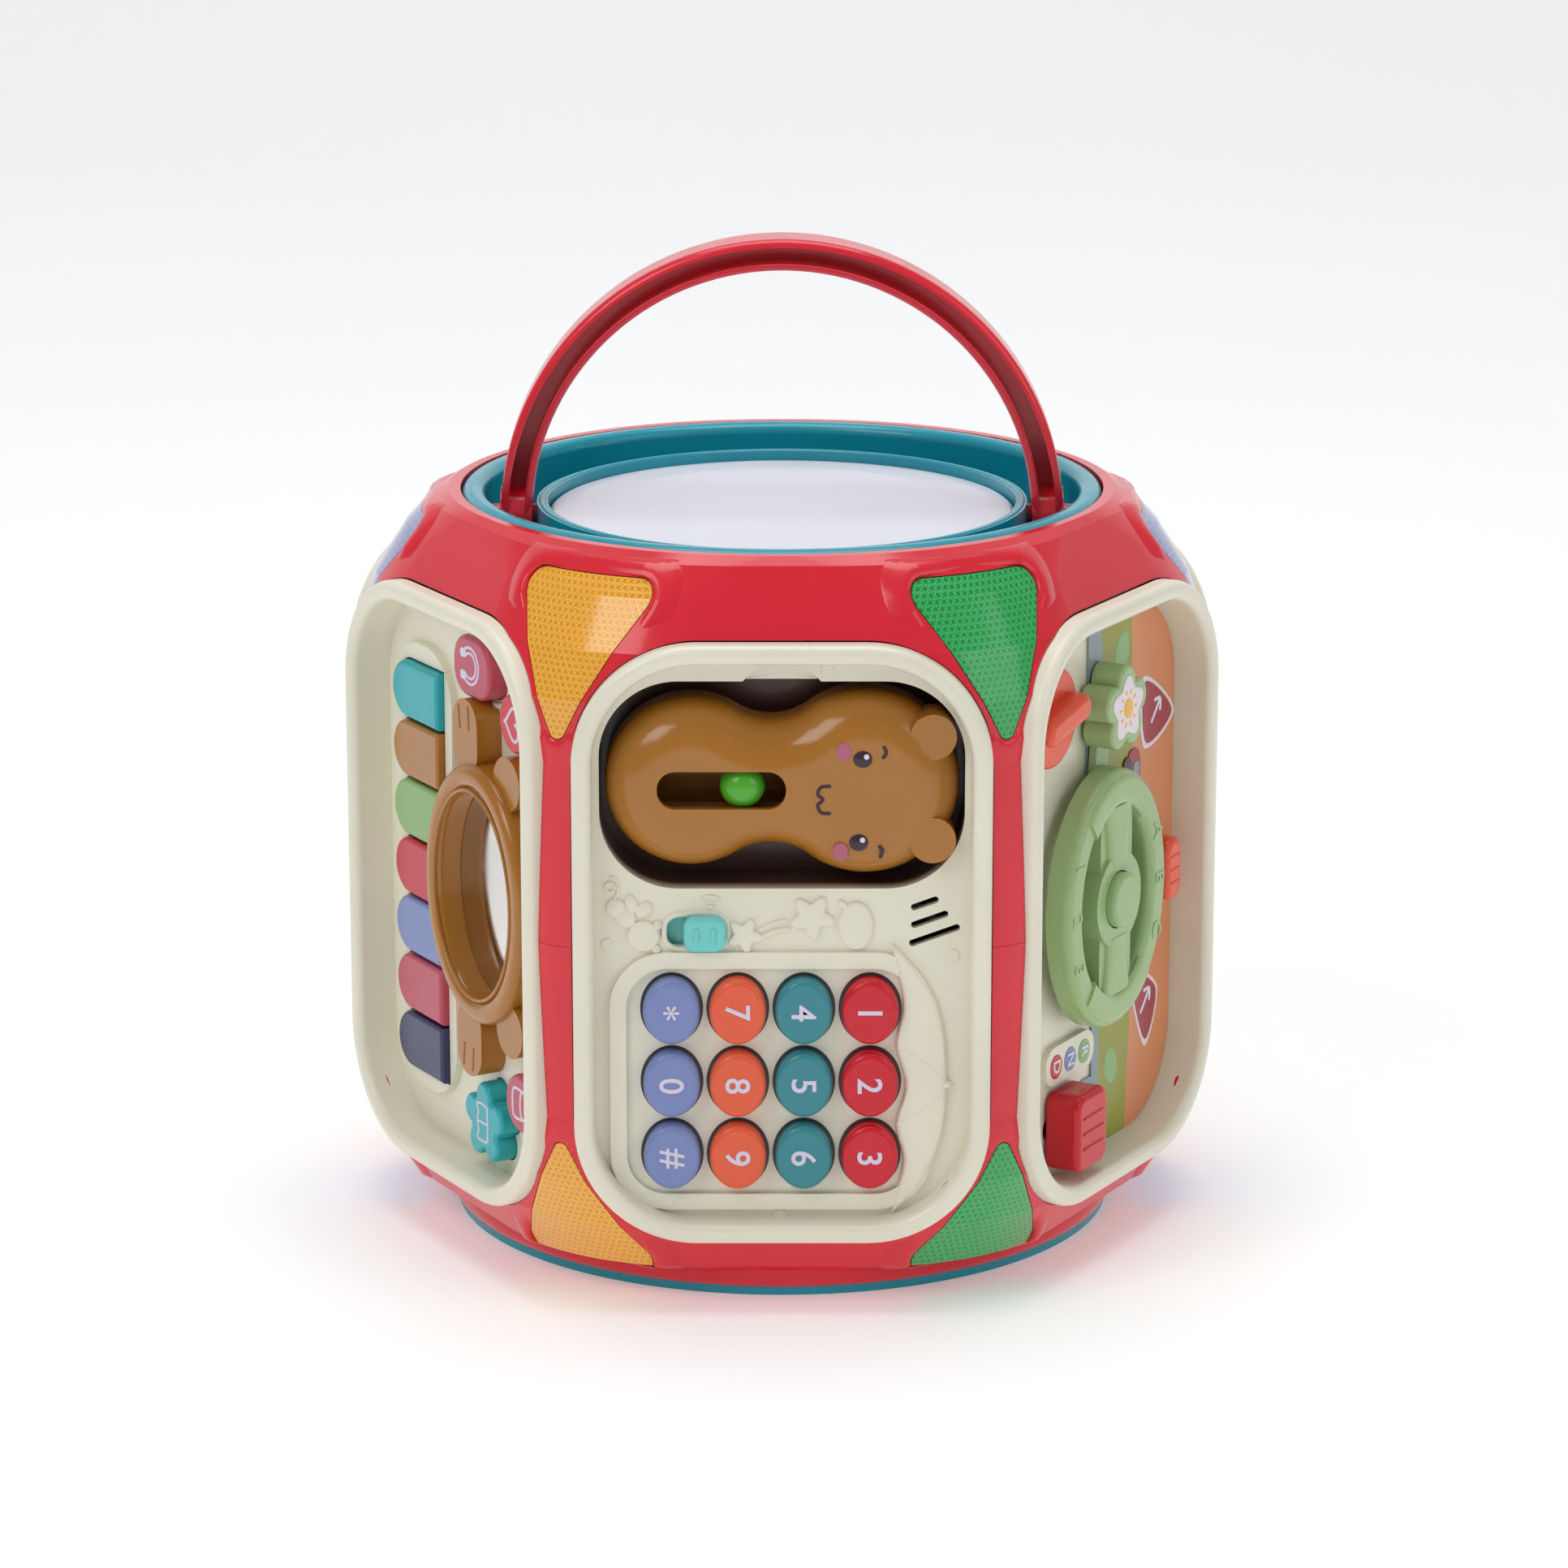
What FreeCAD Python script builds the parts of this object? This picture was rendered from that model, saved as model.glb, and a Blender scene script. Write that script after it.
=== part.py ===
import FreeCAD, Part
import math
import os
import Sketcher
from FreeCAD import Placement, Rotation, Vector

# Baby activity drum: a six-sided barrel with one play tray on each side, lit corner windows,
# a drum pad under a folding carry handle, and a battery cover beneath.
# Millimetres, +Z up, origin at the centre of the underside, the telephone tray facing -Y.
# Every tray is drawn facing -Y and then turned about the barrel's axis to its own side.
# On a tray, "across" runs to the right seen from outside, "up" runs up from the barrel's middle,
# and a distance "out" is measured from the barrel's axis.

DRIVING_SIZES = [
    ("across_flats", 200, "over the rims of two opposite trays"),
    ("body_height", 187, "underside to the top of the shells"),
    ("pillar_width", 14.4, "between neighbouring tray rims, where their planes meet"),
    ("shell_wall", 2.5, "upper and lower shell"),
    ("seam_gap", 0.1, "between faces that close on each other"),
    ("fit_gap", 0.25, "round a fixed piece in its window"),
    ("slide_gap", 0.35, "round a key, button or knob in its hole"),
    ("shaft_gap", 0.07, "round a turning shaft, on the radius"),
    ("foot_lift", 4.6, "underside to the lower shell"),
    ("waist_drop", 33, "below the shell's top, where the corners start to round"),
    ("shoulder_drop", 21.3, "below the shell's top, start of the shoulder"),
    ("slope_drop", 9.3, "below the shell's top, middle of the shoulder"),
    ("brow_drop", 2, "below the shell's top, end of the shoulder"),
    ("waist_inset", 2.5, "flat of the barrel behind the tray rims"),
    ("shoulder_inset", 3.8, "the same, at the shoulder"),
    ("slope_inset", 10.4, "the same, half way up the shoulder"),
    ("brow_inset", 14.6, "the same, at the end of the shoulder"),
    ("brim_inset", 16.6, "the same, at the shell's top"),
    ("waist_corner", 14, "corner radius at the middle"),
    ("shoulder_corner", 52, "corner radius at the shoulder"),
    ("brim_corner", 78, "corner radius at the shell's top"),
    ("tray_margin", 18.4, "tray rim to the shell's top and to the underside"),
    ("tray_corner", 30, "corner radius of a tray rim"),
    ("rim_width", 5, "bead round a tray"),
    ("rim_height", 5, "bead round a tray, front to back"),
    ("rim_round", 2.2, "rounding of the bead"),
    ("tray_wall", 2.5, "floor of a tray"),
    ("tray_side", 2, "side wall of a tray"),
    ("tray_depth", 11, "rim to floor"),
    ("phone_depth", 8, "rim to floor of the telephone tray"),
    ("lens_half", 17.5, "half width of a corner window at its wide end"),
    ("lens_upper_drop", 5, "top of the shells to the wide end of an upper window"),
    ("lens_lower_drop", 7.3, "underside to the wide end of a lower window"),
    ("lens_dip", 24.4, "end of a tray's rim to the narrow end of a window beside it"),
    ("lens_round", 4.4, "radius of a window's wide corners"),
    ("lens_tip", 2.3, "radius of a window's narrow end"),
    ("ring_shoulder", 18.9, "tray rim plane to the outside of the top ring"),
    ("ring_rise", 0.4, "top ring above the shell"),
    ("ring_band", 6, "wall of the top ring"),
    ("ring_floor", 2.5, "floor of the top ring"),
    ("groove_width", 13, "groove that the handle folds into"),
    ("groove_depth", 16.4, "top of the ring to the groove's floor"),
    ("collar_wall", 2.8, "collar between the groove and the pad"),
    ("collar_drop", 4.2, "top of the ring to the top of the collar"),
    ("pad_gap", 0.6, "pad to collar"),
    ("pad_drop", 6.5, "top of the ring to the pad's edge"),
    ("pad_crown", 3, "rise of the pad's middle"),
    ("pad_thick", 5, "pad at its edge"),
    ("pad_travel", 2, "stroke of the pad"),
    ("handle_band", 8, "radial width of the handle"),
    ("handle_deep", 14, "handle, front to back"),
    ("handle_skin", 2, "walls of the handle's channel"),
    ("handle_gap", 4, "handle to the ring"),
    ("handle_drop", 8.1, "top of the ring to the handle's hinge"),
    ("hinge_pin", 5, "diameter of the handle's pins"),
    ("pin_reach", 2, "pin inside the ring and inside the collar"),
    ("base_inset", 15.5, "tray rim plane to the outside of the underside ring"),
    ("foot_band", 8, "ring that the toy stands on"),
    ("foot_step", 1.2, "height of that ring"),
    ("bay_length", 56, "battery bay, side to side"),
    ("bay_width", 50, "battery bay, front to back"),
    ("bay_height", 19, "battery bay"),
    ("bay_wall", 2, "battery bay"),
    ("door_lip", 4, "battery door beyond the bay"),
    ("door_thick", 2.2, "battery door"),
    ("cell_radius", 7.1, "battery"),
    ("cell_length", 50, "battery"),
    ("cell_pitch", 15.4, "between batteries"),
    ("screw_ring", 70, "radius of the case screws"),
    ("screw_radius", 1.5, "shank of a screw"),
    ("screw_head", 3, "radius of a screw head"),
    ("screw_cap", 2, "thickness of a screw head"),
    ("screw_length", 12, "shank of a case screw"),
    ("boss_radius", 4.5, "boss that a case screw bites into"),
    ("boss_height", 14, "boss above the shell's floor"),
    ("cradle_wide", 88, "handset recess"),
    ("cradle_high", 51.5, "handset recess"),
    ("cradle_up", 39, "centre of the handset recess"),
    ("cradle_deep", 26, "rim to the floor of the handset recess"),
    ("cradle_round", 19, "corner radius of the handset recess"),
    ("thumb_radius", 12, "thumb notch over the handset"),
    ("thumb_rise", 4.5, "thumb notch above the handset recess"),
    ("handset_gap", 1.2, "handset to the ends of its recess"),
    ("lobe_left", 20.8, "radius of the handset's plain end"),
    ("lobe_right", 22.8, "radius of the handset's eared end"),
    ("lobe_waist", 15, "radius of the hollows between the ends"),
    ("ear_radius", 5.6, "handset ear"),
    ("ear_apart", 25.6, "between the handset's ears"),
    ("handset_front_thick", 12.5, "front half of the handset"),
    ("handset_back_thick", 9.5, "back half of the handset"),
    ("handset_round", 11, "rounding of the handset"),
    ("handset_lift", 1, "handset above the recess floor"),
    ("ball_radius", 5.5, "rattle ball"),
    ("ball_slot", 9.3, "slot that shows the ball"),
    ("ball_track", 31, "length of the slot"),
    ("ball_skin", 2, "handset front over the ball's channel"),
    ("ball_across", -14.5, "centre of the ball's slot"),
    ("ball_rest", 5, "ball from the slot's centre at rest"),
    ("key_wide", 13.8, "telephone key"),
    ("key_high", 16.5, "telephone key"),
    ("key_pitch_across", 16.05, "telephone keys"),
    ("key_pitch_up", 18.5, "telephone keys"),
    ("key_rise", 4.6, "telephone key above its floor"),
    ("key_round", 1.6, "rounding of a telephone key"),
    ("keypad_across", -2.7, "centre of the telephone keys"),
    ("keypad_up", -35.3, "centre of the telephone keys"),
    ("flange_thick", 1.2, "flange that keeps a key in its hole"),
    ("flange_gap", 0.4, "flange to the back of the floor"),
    ("flange_lap", 0.8, "flange beyond a key"),
    ("keypad_frame", 4, "bead round the telephone keys"),
    ("keypad_frame_rise", 1.4, "that bead above the floor"),
    ("switch_across", -18.6, "slide switch at rest"),
    ("switch_up", 2.4, "slide switch"),
    ("switch_slot", 16.2, "length of its slot"),
    ("switch_slot_high", 7.4, "height of its slot"),
    ("switch_shift", 2.7, "slot's centre from the switch at rest"),
    ("switch_wide", 10.3, "slide switch cap"),
    ("switch_high", 8.8, "slide switch cap"),
    ("switch_rise", 3.6, "slide switch cap above the floor"),
    ("sound_slot", 1.7, "width of a sound slot"),
    ("speaker_radius", 14, "loudspeaker"),
    ("speaker_deep", 12, "loudspeaker"),
    ("board_thick", 1.6, "circuit board"),
    ("piano_pitch", 15.4, "piano keys"),
    ("piano_gap", 0.8, "between piano keys"),
    ("piano_long", 25, "piano key"),
    ("piano_across", -23.5, "centre of the piano keys"),
    ("piano_up", -0.8, "centre of the piano keys"),
    ("piano_rise", 4.2, "piano key above the tray's floor"),
    ("piano_round", 1.1, "rounding of a piano key"),
    ("plateau_rise", 2, "raised bed of the piano keys"),
    ("mode_rise", 5.5, "mode button above the floor"),
    ("mode_round", 1.2, "rounding of a mode button"),
    ("mode_radius", 7.5, "round mode button"),
    ("mode_wide", 19.5, "headphone button"),
    ("mode_high", 15.5, "headphone button"),
    ("star_lobe", 3.9, "lobe of the star button"),
    ("star_reach", 6.6, "centre of a lobe of the star button"),
    ("mirror_across", 16, "mirror frame"),
    ("mirror_up", 3, "mirror frame"),
    ("mirror_wide", 52, "mirror frame"),
    ("mirror_high", 66, "mirror frame"),
    ("mirror_band", 6.2, "mirror frame"),
    ("mirror_rise", 9, "mirror frame above the floor"),
    ("mirror_round", 2.6, "rounding of the mirror frame"),
    ("mirror_glass", 1.5, "thickness of the mirror"),
    ("card_edge", -4, "left edge of the printed card"),
    ("card_margin", 1, "printed card to the tray's side"),
    ("card_thick", 0.6, "printed card"),
    ("wheel_across", -4, "steering wheel"),
    ("wheel_up", -0.7, "steering wheel"),
    ("wheel_wide", 54, "steering wheel"),
    ("wheel_high", 66, "steering wheel"),
    ("wheel_band", 8.5, "rim of the steering wheel"),
    ("wheel_thick", 6.5, "rim of the steering wheel"),
    ("wheel_lift", 3.6, "steering wheel above the floor"),
    ("wheel_hub", 12, "radius of the wheel's hub"),
    ("wheel_spoke", 17, "width of the wheel's spokes"),
    ("shaft_radius", 4, "shaft of a turning piece"),
    ("shaft_catch", 1.6, "catch beyond a shaft, on the radius"),
    ("horn_radius", 7, "horn button"),
    ("horn_rise", 2.4, "horn button above the wheel"),
    ("horn_deep", 2, "horn button inside the wheel"),
    ("knob_across", -27.5, "ignition knob"),
    ("knob_up", 50, "ignition knob"),
    ("knob_radius", 12.7, "ignition knob"),
    ("knob_disc", 3.2, "thickness of the ignition knob's disc"),
    ("knob_rise", 8.6, "ridge of the ignition knob above the floor"),
    ("star_across", 1, "head of the star lever"),
    ("star_up", 47, "head of the star lever"),
    ("lever_across", -2, "pivot of the star lever"),
    ("lever_up", 24, "pivot of the star lever"),
    ("lever_width", 7, "stalk of the star lever"),
    ("lever_thick", 2, "stalk of the star lever"),
    ("lever_lift", 0.6, "stalk above the card"),
    ("head_thick", 8, "head of the star lever"),
    ("head_lobe", 4.6, "lobe of the star lever's head"),
    ("head_reach", 6.4, "centre of a lobe of that head"),
    ("signal_across", 35, "signal slider"),
    ("signal_up", -3, "signal slider"),
    ("signal_wide", 8, "signal slider"),
    ("signal_high", 16.5, "signal slider"),
    ("signal_rise", 6.5, "signal slider above the floor"),
    ("signal_travel", 5, "signal slider, each way"),
    ("gear_across", -16, "gear lever"),
    ("gear_up", -57.5, "gear lever"),
    ("gear_wide", 16.5, "gear lever knob"),
    ("gear_high", 20, "gear lever knob"),
    ("gear_rise", 10, "gear lever knob above the floor"),
    ("gear_travel", 5, "gear lever, each way"),
    ("stem_wide", 6, "stem of a sliding knob"),
    ("stem_high", 4.4, "stem of a sliding knob"),
    ("plate_across", -13, "letter plate of the gear lever"),
    ("plate_up", -41, "letter plate of the gear lever"),
    ("plate_wide", 26, "letter plate of the gear lever"),
    ("plate_high", 10, "letter plate of the gear lever"),
    ("plate_rise", 1.6, "letter plate of the gear lever"),
    ("gear_module", 4, "play gears"),
    ("gear_backlash", 0.5, "thinning of a play gear's tooth"),
    ("gear_thick", 7, "play gears"),
    ("gear_lift", 0.8, "play gears above the floor"),
    ("large_teeth", 14, "large play gear"),
    ("small_teeth", 8, "small play gear"),
    ("large_up", 22, "centre of the large play gear"),
    ("roller_radius", 15.5, "roller"),
    ("roller_length", 52, "roller"),
    ("roller_up", 22, "centre of the roller"),
    ("roller_sink", 13, "rim plane to the roller's axis"),
    ("roller_groove", 1.4, "radius of the roller's grooves"),
    ("roller_room", 2, "round the roller"),
    ("roller_pin", 2.5, "radius of the roller's pins"),
    ("blade_reach", 17, "centre of a spinner blade"),
    ("blade_radius", 10.5, "spinner blade"),
    ("spinner_up", 14, "spinner"),
    ("spinner_hub", 10, "radius of the spinner's hub"),
    ("keypad_corner", 14, "corner radius of the frame round the keys"),
    ("switch_lap", 1.3, "slide switch past its slot"),
    ("switch_corner", 2.8, "corner radius of the switch's cap"),
    ("slot_corner", 2, "corner radius of a slot or a spoke"),
    ("stem_corner", 1.5, "corner radius of a slider's stem"),
    ("catch_lap", 2, "plate behind a slider past its stem"),
    ("slider_corner", 3.6, "corner radius of a slider"),
    ("slider_edge", 1.8, "edge rounding of a slider"),
    ("button_edge", 1.2, "edge rounding of a small button"),
    ("rib_wide", 0.9, "rib on the slide switch"),
    ("rib_high", 3.6, "the same, up"),
    ("rib_rise", 0.4, "the same, above the cap"),
    ("rib_apart", 2, "rib to the switch's middle"),
    ("speaker_across", 27, "loudspeaker"),
    ("speaker_up", -6, "the same"),
    ("plateau_corner", 14, "corner radius of the piano's bed"),
    ("arm_wide", 13, "arm of the mirror's frame"),
    ("arm_long", 19, "the same, along"),
    ("mirror_ear", 6.8, "radius of an ear of the mirror's frame"),
    ("wheel_edge", 2.4, "edge rounding of the steering wheel"),
    ("press_room", 1.5, "room under the horn button"),
    ("grip_long", 22.4, "finger ridge of the ignition knob"),
    ("grip_wide", 7, "the same, across"),
]

PHONE_KEYS = (("star", "seven", "four", "one"),
              ("zero", "eight", "five", "two"),
              ("hash", "nine", "six", "three"))
PIANO_KEYS = ("do", "re", "mi", "fa", "sol", "la", "ti")
SIDES = {"phone": 0, "driving": 60, "spinner": 120, "gear": 180, "roller": -120, "piano": -60}
LENS_CORNERS = {"orange_lenses": (-30, 150), "green_lenses": (30, -150), "blue_lenses": (90, -90)}
SCREW_AZIMUTHS = range(30, 360, 60)
UPWARD = Vector(0, 0, 1)

RIM_PLANE = "Sizes.across_flats / 2"
MIDDLE = "Sizes.body_height / 2"
TRAY_WIDE = "(Sizes.across_flats * tan(30) - Sizes.pillar_width)"
TRAY_HIGH = "(Sizes.body_height - 2 * Sizes.tray_margin)"
OPENING_WIDE = "(%s - 2 * Sizes.rim_width)" % TRAY_WIDE
OPENING_HIGH = "(%s - 2 * Sizes.rim_width)" % TRAY_HIGH
OPENING_CORNER = "(Sizes.tray_corner - Sizes.rim_width)"
FLOOR = "(%s - Sizes.tray_depth)" % RIM_PLANE
FLOOR_BACK = "(%s - Sizes.tray_wall)" % FLOOR
PHONE_FLOOR = "(%s - Sizes.phone_depth)" % RIM_PLANE
PHONE_BACK = "(%s - Sizes.tray_wall)" % PHONE_FLOOR
RING_TOP = "(Sizes.body_height + Sizes.ring_rise)"
RING_OUTSIDE = "(%s - Sizes.ring_shoulder)" % RIM_PLANE
RING_INSIDE = "(%s - Sizes.ring_band)" % RING_OUTSIDE
BASE_RADIUS = "(%s - Sizes.base_inset)" % RIM_PLANE
COLLAR_OUTSIDE = "(%s - Sizes.groove_width)" % RING_INSIDE
COLLAR_INSIDE = "(%s - Sizes.collar_wall)" % COLLAR_OUTSIDE
PAD_RADIUS = "(%s - Sizes.pad_gap)" % COLLAR_INSIDE
GROOVE_FLOOR = "(%s - Sizes.groove_depth)" % RING_TOP
HINGE_HEIGHT = "(%s - Sizes.handle_drop)" % RING_TOP
HANDLE_OUTSIDE = "(%s - Sizes.handle_gap)" % RING_INSIDE
HANDLE_INSIDE = "(%s - Sizes.handle_band)" % HANDLE_OUTSIDE
PIN_START = "(%s - Sizes.pin_reach)" % COLLAR_OUTSIDE
PIN_END = "(%s + Sizes.pin_reach)" % RING_INSIDE
SWITCH_SLOT_ACROSS = "(Sizes.switch_across - Sizes.switch_shift)"
CATCH_DEPTH = "(%s - Sizes.flange_gap - Sizes.flange_thick)" % FLOOR_BACK
BOARD_FRONT = "(%s - Sizes.flange_gap - 2 * Sizes.flange_thick - Sizes.pad_travel)" % PHONE_BACK

doc = FreeCAD.newDocument("ActivityDrum")
sheet = doc.addObject("Spreadsheet::Sheet", "Sizes")
sub_parts = []


def fill_sheet():
    """Write every driving size with its note and its alias."""
    for row, (alias, size, note) in enumerate(DRIVING_SIZES, start=1):
        sheet.set("A%d" % row, note)
        sheet.set("B%d" % row, str(size))
        sheet.setAlias("B%d" % row, alias)
    doc.recompute()


def number(expression):
    """The present value of an expression of sheet cells."""
    return float(sheet.evalExpression(str(expression)))


# ---------------------------------------------------------------- bodies, sketches, features

def new_body(label, azimuth=0, height=MIDDLE):
    """A sub-part whose own origin lies on the barrel's axis, turned to its side."""
    body = doc.addObject("PartDesign::Body", label)
    body.Label = label
    body.Placement = Placement(Vector(), Rotation(UPWARD, azimuth))
    body.setExpression(".Placement.Base.z", str(height))
    sub_parts.append(body)
    return body


def new_sketch(body, plane="XZ_Plane", across=0, up=0, out=0, turn=0):
    """A sketch on the body's own plane, its origin shifted to (across, up) and moved out."""
    sketch = body.newObject("Sketcher::SketchObject", body.Name + "_outline")
    support = [item for item in body.Origin.OriginFeatures if item.Role == plane][0]
    sketch.AttachmentSupport = [(support, "")]
    sketch.MapMode = "FlatFace"
    sketch.AttachmentOffset = Placement(Vector(), Rotation(UPWARD, turn))
    for axis, expression in zip("xyz", (across, up, out)):
        sketch.setExpression(".AttachmentOffset.Base." + axis, str(expression))
    return sketch


def bind(sketch, constraint, expression):
    """Add a dimension to a sketch and tie it to the sheet."""
    index = sketch.addConstraint(constraint)
    sketch.setExpression("Constraints[%d]" % index, str(expression))


def add_circle(sketch, radius):
    """A circle about the sketch's origin."""
    circle = sketch.addGeometry(Part.Circle(Vector(), UPWARD, number(radius)))
    sketch.addConstraint(Sketcher.Constraint("Coincident", circle, 3, -1, 1))
    bind(sketch, Sketcher.Constraint("Radius", circle, number(radius)), radius)


def add_oval(sketch, wide, high):
    """An upright ellipse about the sketch's origin."""
    top = Vector(0, number(high) / 2, 0)
    left = Vector(-number(wide) / 2, 0, 0)
    oval = sketch.addGeometry(Part.Ellipse(top, left, Vector()))
    sketch.exposeInternalGeometry(oval)
    sketch.addConstraint(Sketcher.Constraint("Coincident", oval, 3, -1, 1))
    sketch.addConstraint(Sketcher.Constraint("Vertical", oval + 1))
    bind(sketch, Sketcher.Constraint("Distance", oval + 1, number(high)), high)
    bind(sketch, Sketcher.Constraint("Distance", oval + 2, number(wide)), wide)


def add_tangent_loop(sketch, pieces):
    """Join lines and arcs, each given with its first and last point number, into a smooth loop."""
    for (first, _, end), (second, start, _) in zip(pieces, pieces[1:] + pieces[:1]):
        sketch.addConstraint(Sketcher.Constraint("Tangent", first, end, second, start))


def add_rounded_box(sketch, wide, high, corner):
    """A rectangle with round corners about the sketch's origin."""
    half_wide = number(wide) / 2
    half_high = number(high) / 2
    radius = number(corner)
    inner_wide = half_wide - radius
    inner_high = half_high - radius
    ends = ((Vector(-inner_wide, half_high, 0), Vector(inner_wide, half_high, 0)),
            (Vector(half_wide, inner_high, 0), Vector(half_wide, -inner_high, 0)),
            (Vector(inner_wide, -half_high, 0), Vector(-inner_wide, -half_high, 0)),
            (Vector(-half_wide, -inner_high, 0), Vector(-half_wide, inner_high, 0)))
    lines = [sketch.addGeometry(Part.LineSegment(*pair)) for pair in ends]
    centres = ((inner_wide, inner_high), (inner_wide, -inner_high),
               (-inner_wide, -inner_high), (-inner_wide, inner_high))
    arcs = []
    for quarter, (x, y) in enumerate(centres):
        circle = Part.Circle(Vector(x, y, 0), UPWARD, radius)
        start = math.radians(-90 * quarter)
        arcs.append(sketch.addGeometry(Part.ArcOfCircle(circle, start, start + math.pi / 2)))
    loop = []
    for line, arc in zip(lines, arcs):
        loop += [(line, 1, 2), (arc, 2, 1)]
    add_tangent_loop(sketch, loop)
    for line, kind in zip(lines, ("Horizontal", "Vertical") * 2):
        sketch.addConstraint(Sketcher.Constraint(kind, line))
    for arc in arcs[1:]:
        sketch.addConstraint(Sketcher.Constraint("Equal", arcs[0], arc))
    sketch.addConstraint(Sketcher.Constraint("Symmetric", lines[0], 1, lines[2], 1, -1, 1))
    bind(sketch, Sketcher.Constraint("Radius", arcs[0], radius), corner)
    bind(sketch, Sketcher.Constraint("DistanceX", lines[3], 1, lines[1], 1, 2 * half_wide), wide)
    bind(sketch, Sketcher.Constraint("DistanceY", lines[2], 1, lines[0], 1, 2 * half_high), high)


def add_box(sketch, wide, high):
    """A plain rectangle about the sketch's origin."""
    x = number(wide) / 2
    y = number(high) / 2
    corners = (Vector(-x, y, 0), Vector(x, y, 0), Vector(x, -y, 0), Vector(-x, -y, 0))
    lines = [sketch.addGeometry(Part.LineSegment(start, end))
             for start, end in zip(corners, corners[1:] + corners[:1])]
    for line, following in zip(lines, lines[1:] + lines[:1]):
        sketch.addConstraint(Sketcher.Constraint("Coincident", line, 2, following, 1))
    for line, kind in zip(lines, ("Horizontal", "Vertical") * 2):
        sketch.addConstraint(Sketcher.Constraint(kind, line))
    sketch.addConstraint(Sketcher.Constraint("Symmetric", lines[0], 1, lines[2], 1, -1, 1))
    bind(sketch, Sketcher.Constraint("DistanceX", lines[0], 1, lines[0], 2, 2 * x), wide)
    bind(sketch, Sketcher.Constraint("DistanceY", lines[1], 2, lines[1], 1, 2 * y), high)


def add_key_shape(sketch, wide, high):
    """A rectangle whose left end is a half circle, about the sketch's origin."""
    x = number(wide) / 2
    y = number(high) / 2
    top = sketch.addGeometry(Part.LineSegment(Vector(y - x, y, 0), Vector(x, y, 0)))
    right = sketch.addGeometry(Part.LineSegment(Vector(x, y, 0), Vector(x, -y, 0)))
    bottom = sketch.addGeometry(Part.LineSegment(Vector(x, -y, 0), Vector(y - x, -y, 0)))
    circle = Part.Circle(Vector(y - x, 0, 0), UPWARD, y)
    left = sketch.addGeometry(Part.ArcOfCircle(circle, math.pi / 2, 3 * math.pi / 2))
    sketch.addConstraint(Sketcher.Constraint("Coincident", top, 2, right, 1))
    sketch.addConstraint(Sketcher.Constraint("Coincident", right, 2, bottom, 1))
    sketch.addConstraint(Sketcher.Constraint("Tangent", bottom, 2, left, 2))
    sketch.addConstraint(Sketcher.Constraint("Tangent", left, 1, top, 1))
    sketch.addConstraint(Sketcher.Constraint("Horizontal", top))
    sketch.addConstraint(Sketcher.Constraint("Horizontal", bottom))
    sketch.addConstraint(Sketcher.Constraint("Symmetric", right, 1, right, 2, -1))
    bind(sketch, Sketcher.Constraint("DistanceY", right, 2, right, 1, 2 * y), high)
    bind(sketch, Sketcher.Constraint("DistanceX", -1, 1, right, 1, x), "(%s) / 2" % wide)
    bind(sketch, Sketcher.Constraint("DistanceX", left, 3, right, 1, 2 * x - y),
         "(%s) - (%s) / 2" % (wide, high))


def add_peanut(sketch, apart, left, right, waist):
    """Two round ends on the across axis, joined by hollows that touch both."""
    spacing = number(apart)
    radius_left = number(left)
    radius_right = number(right)
    hollow = number(waist)
    reach_left = radius_left + hollow
    reach_right = radius_right + hollow
    along = (spacing ** 2 + reach_left ** 2 - reach_right ** 2) / (2 * spacing)
    height = math.sqrt(reach_left ** 2 - along ** 2)
    turn_left = math.atan2(height, along)
    turn_right = math.atan2(height, along - spacing)
    centre_left = Vector(-spacing / 2, 0, 0)
    centre_right = Vector(spacing / 2, 0, 0)
    above = Vector(along - spacing / 2, height, 0)
    below = Vector(along - spacing / 2, -height, 0)
    arcs = ((centre_left, radius_left, turn_left, 2 * math.pi - turn_left),
            (below, hollow, math.pi - turn_right, math.pi - turn_left),
            (centre_right, radius_right, -turn_right, turn_right),
            (above, hollow, math.pi + turn_left, math.pi + turn_right))
    ends = []
    for centre, radius, start, end in arcs:
        circle = Part.Circle(centre, UPWARD, radius)
        ends.append(sketch.addGeometry(Part.ArcOfCircle(circle, start, end)))
    end_left, low, end_right, high = ends
    add_tangent_loop(sketch, [(end_left, 1, 2), (low, 2, 1), (end_right, 1, 2), (high, 2, 1)])
    sketch.addConstraint(Sketcher.Constraint("PointOnObject", end_left, 3, -1))
    sketch.addConstraint(Sketcher.Constraint("Symmetric", end_left, 3, end_right, 3, -1, 1))
    bind(sketch, Sketcher.Constraint("DistanceX", end_left, 3, end_right, 3, spacing), apart)
    bind(sketch, Sketcher.Constraint("Radius", end_left, radius_left), left)
    bind(sketch, Sketcher.Constraint("Radius", end_right, radius_right), right)
    bind(sketch, Sketcher.Constraint("Radius", high, hollow), waist)
    sketch.addConstraint(Sketcher.Constraint("Equal", high, low))


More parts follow.
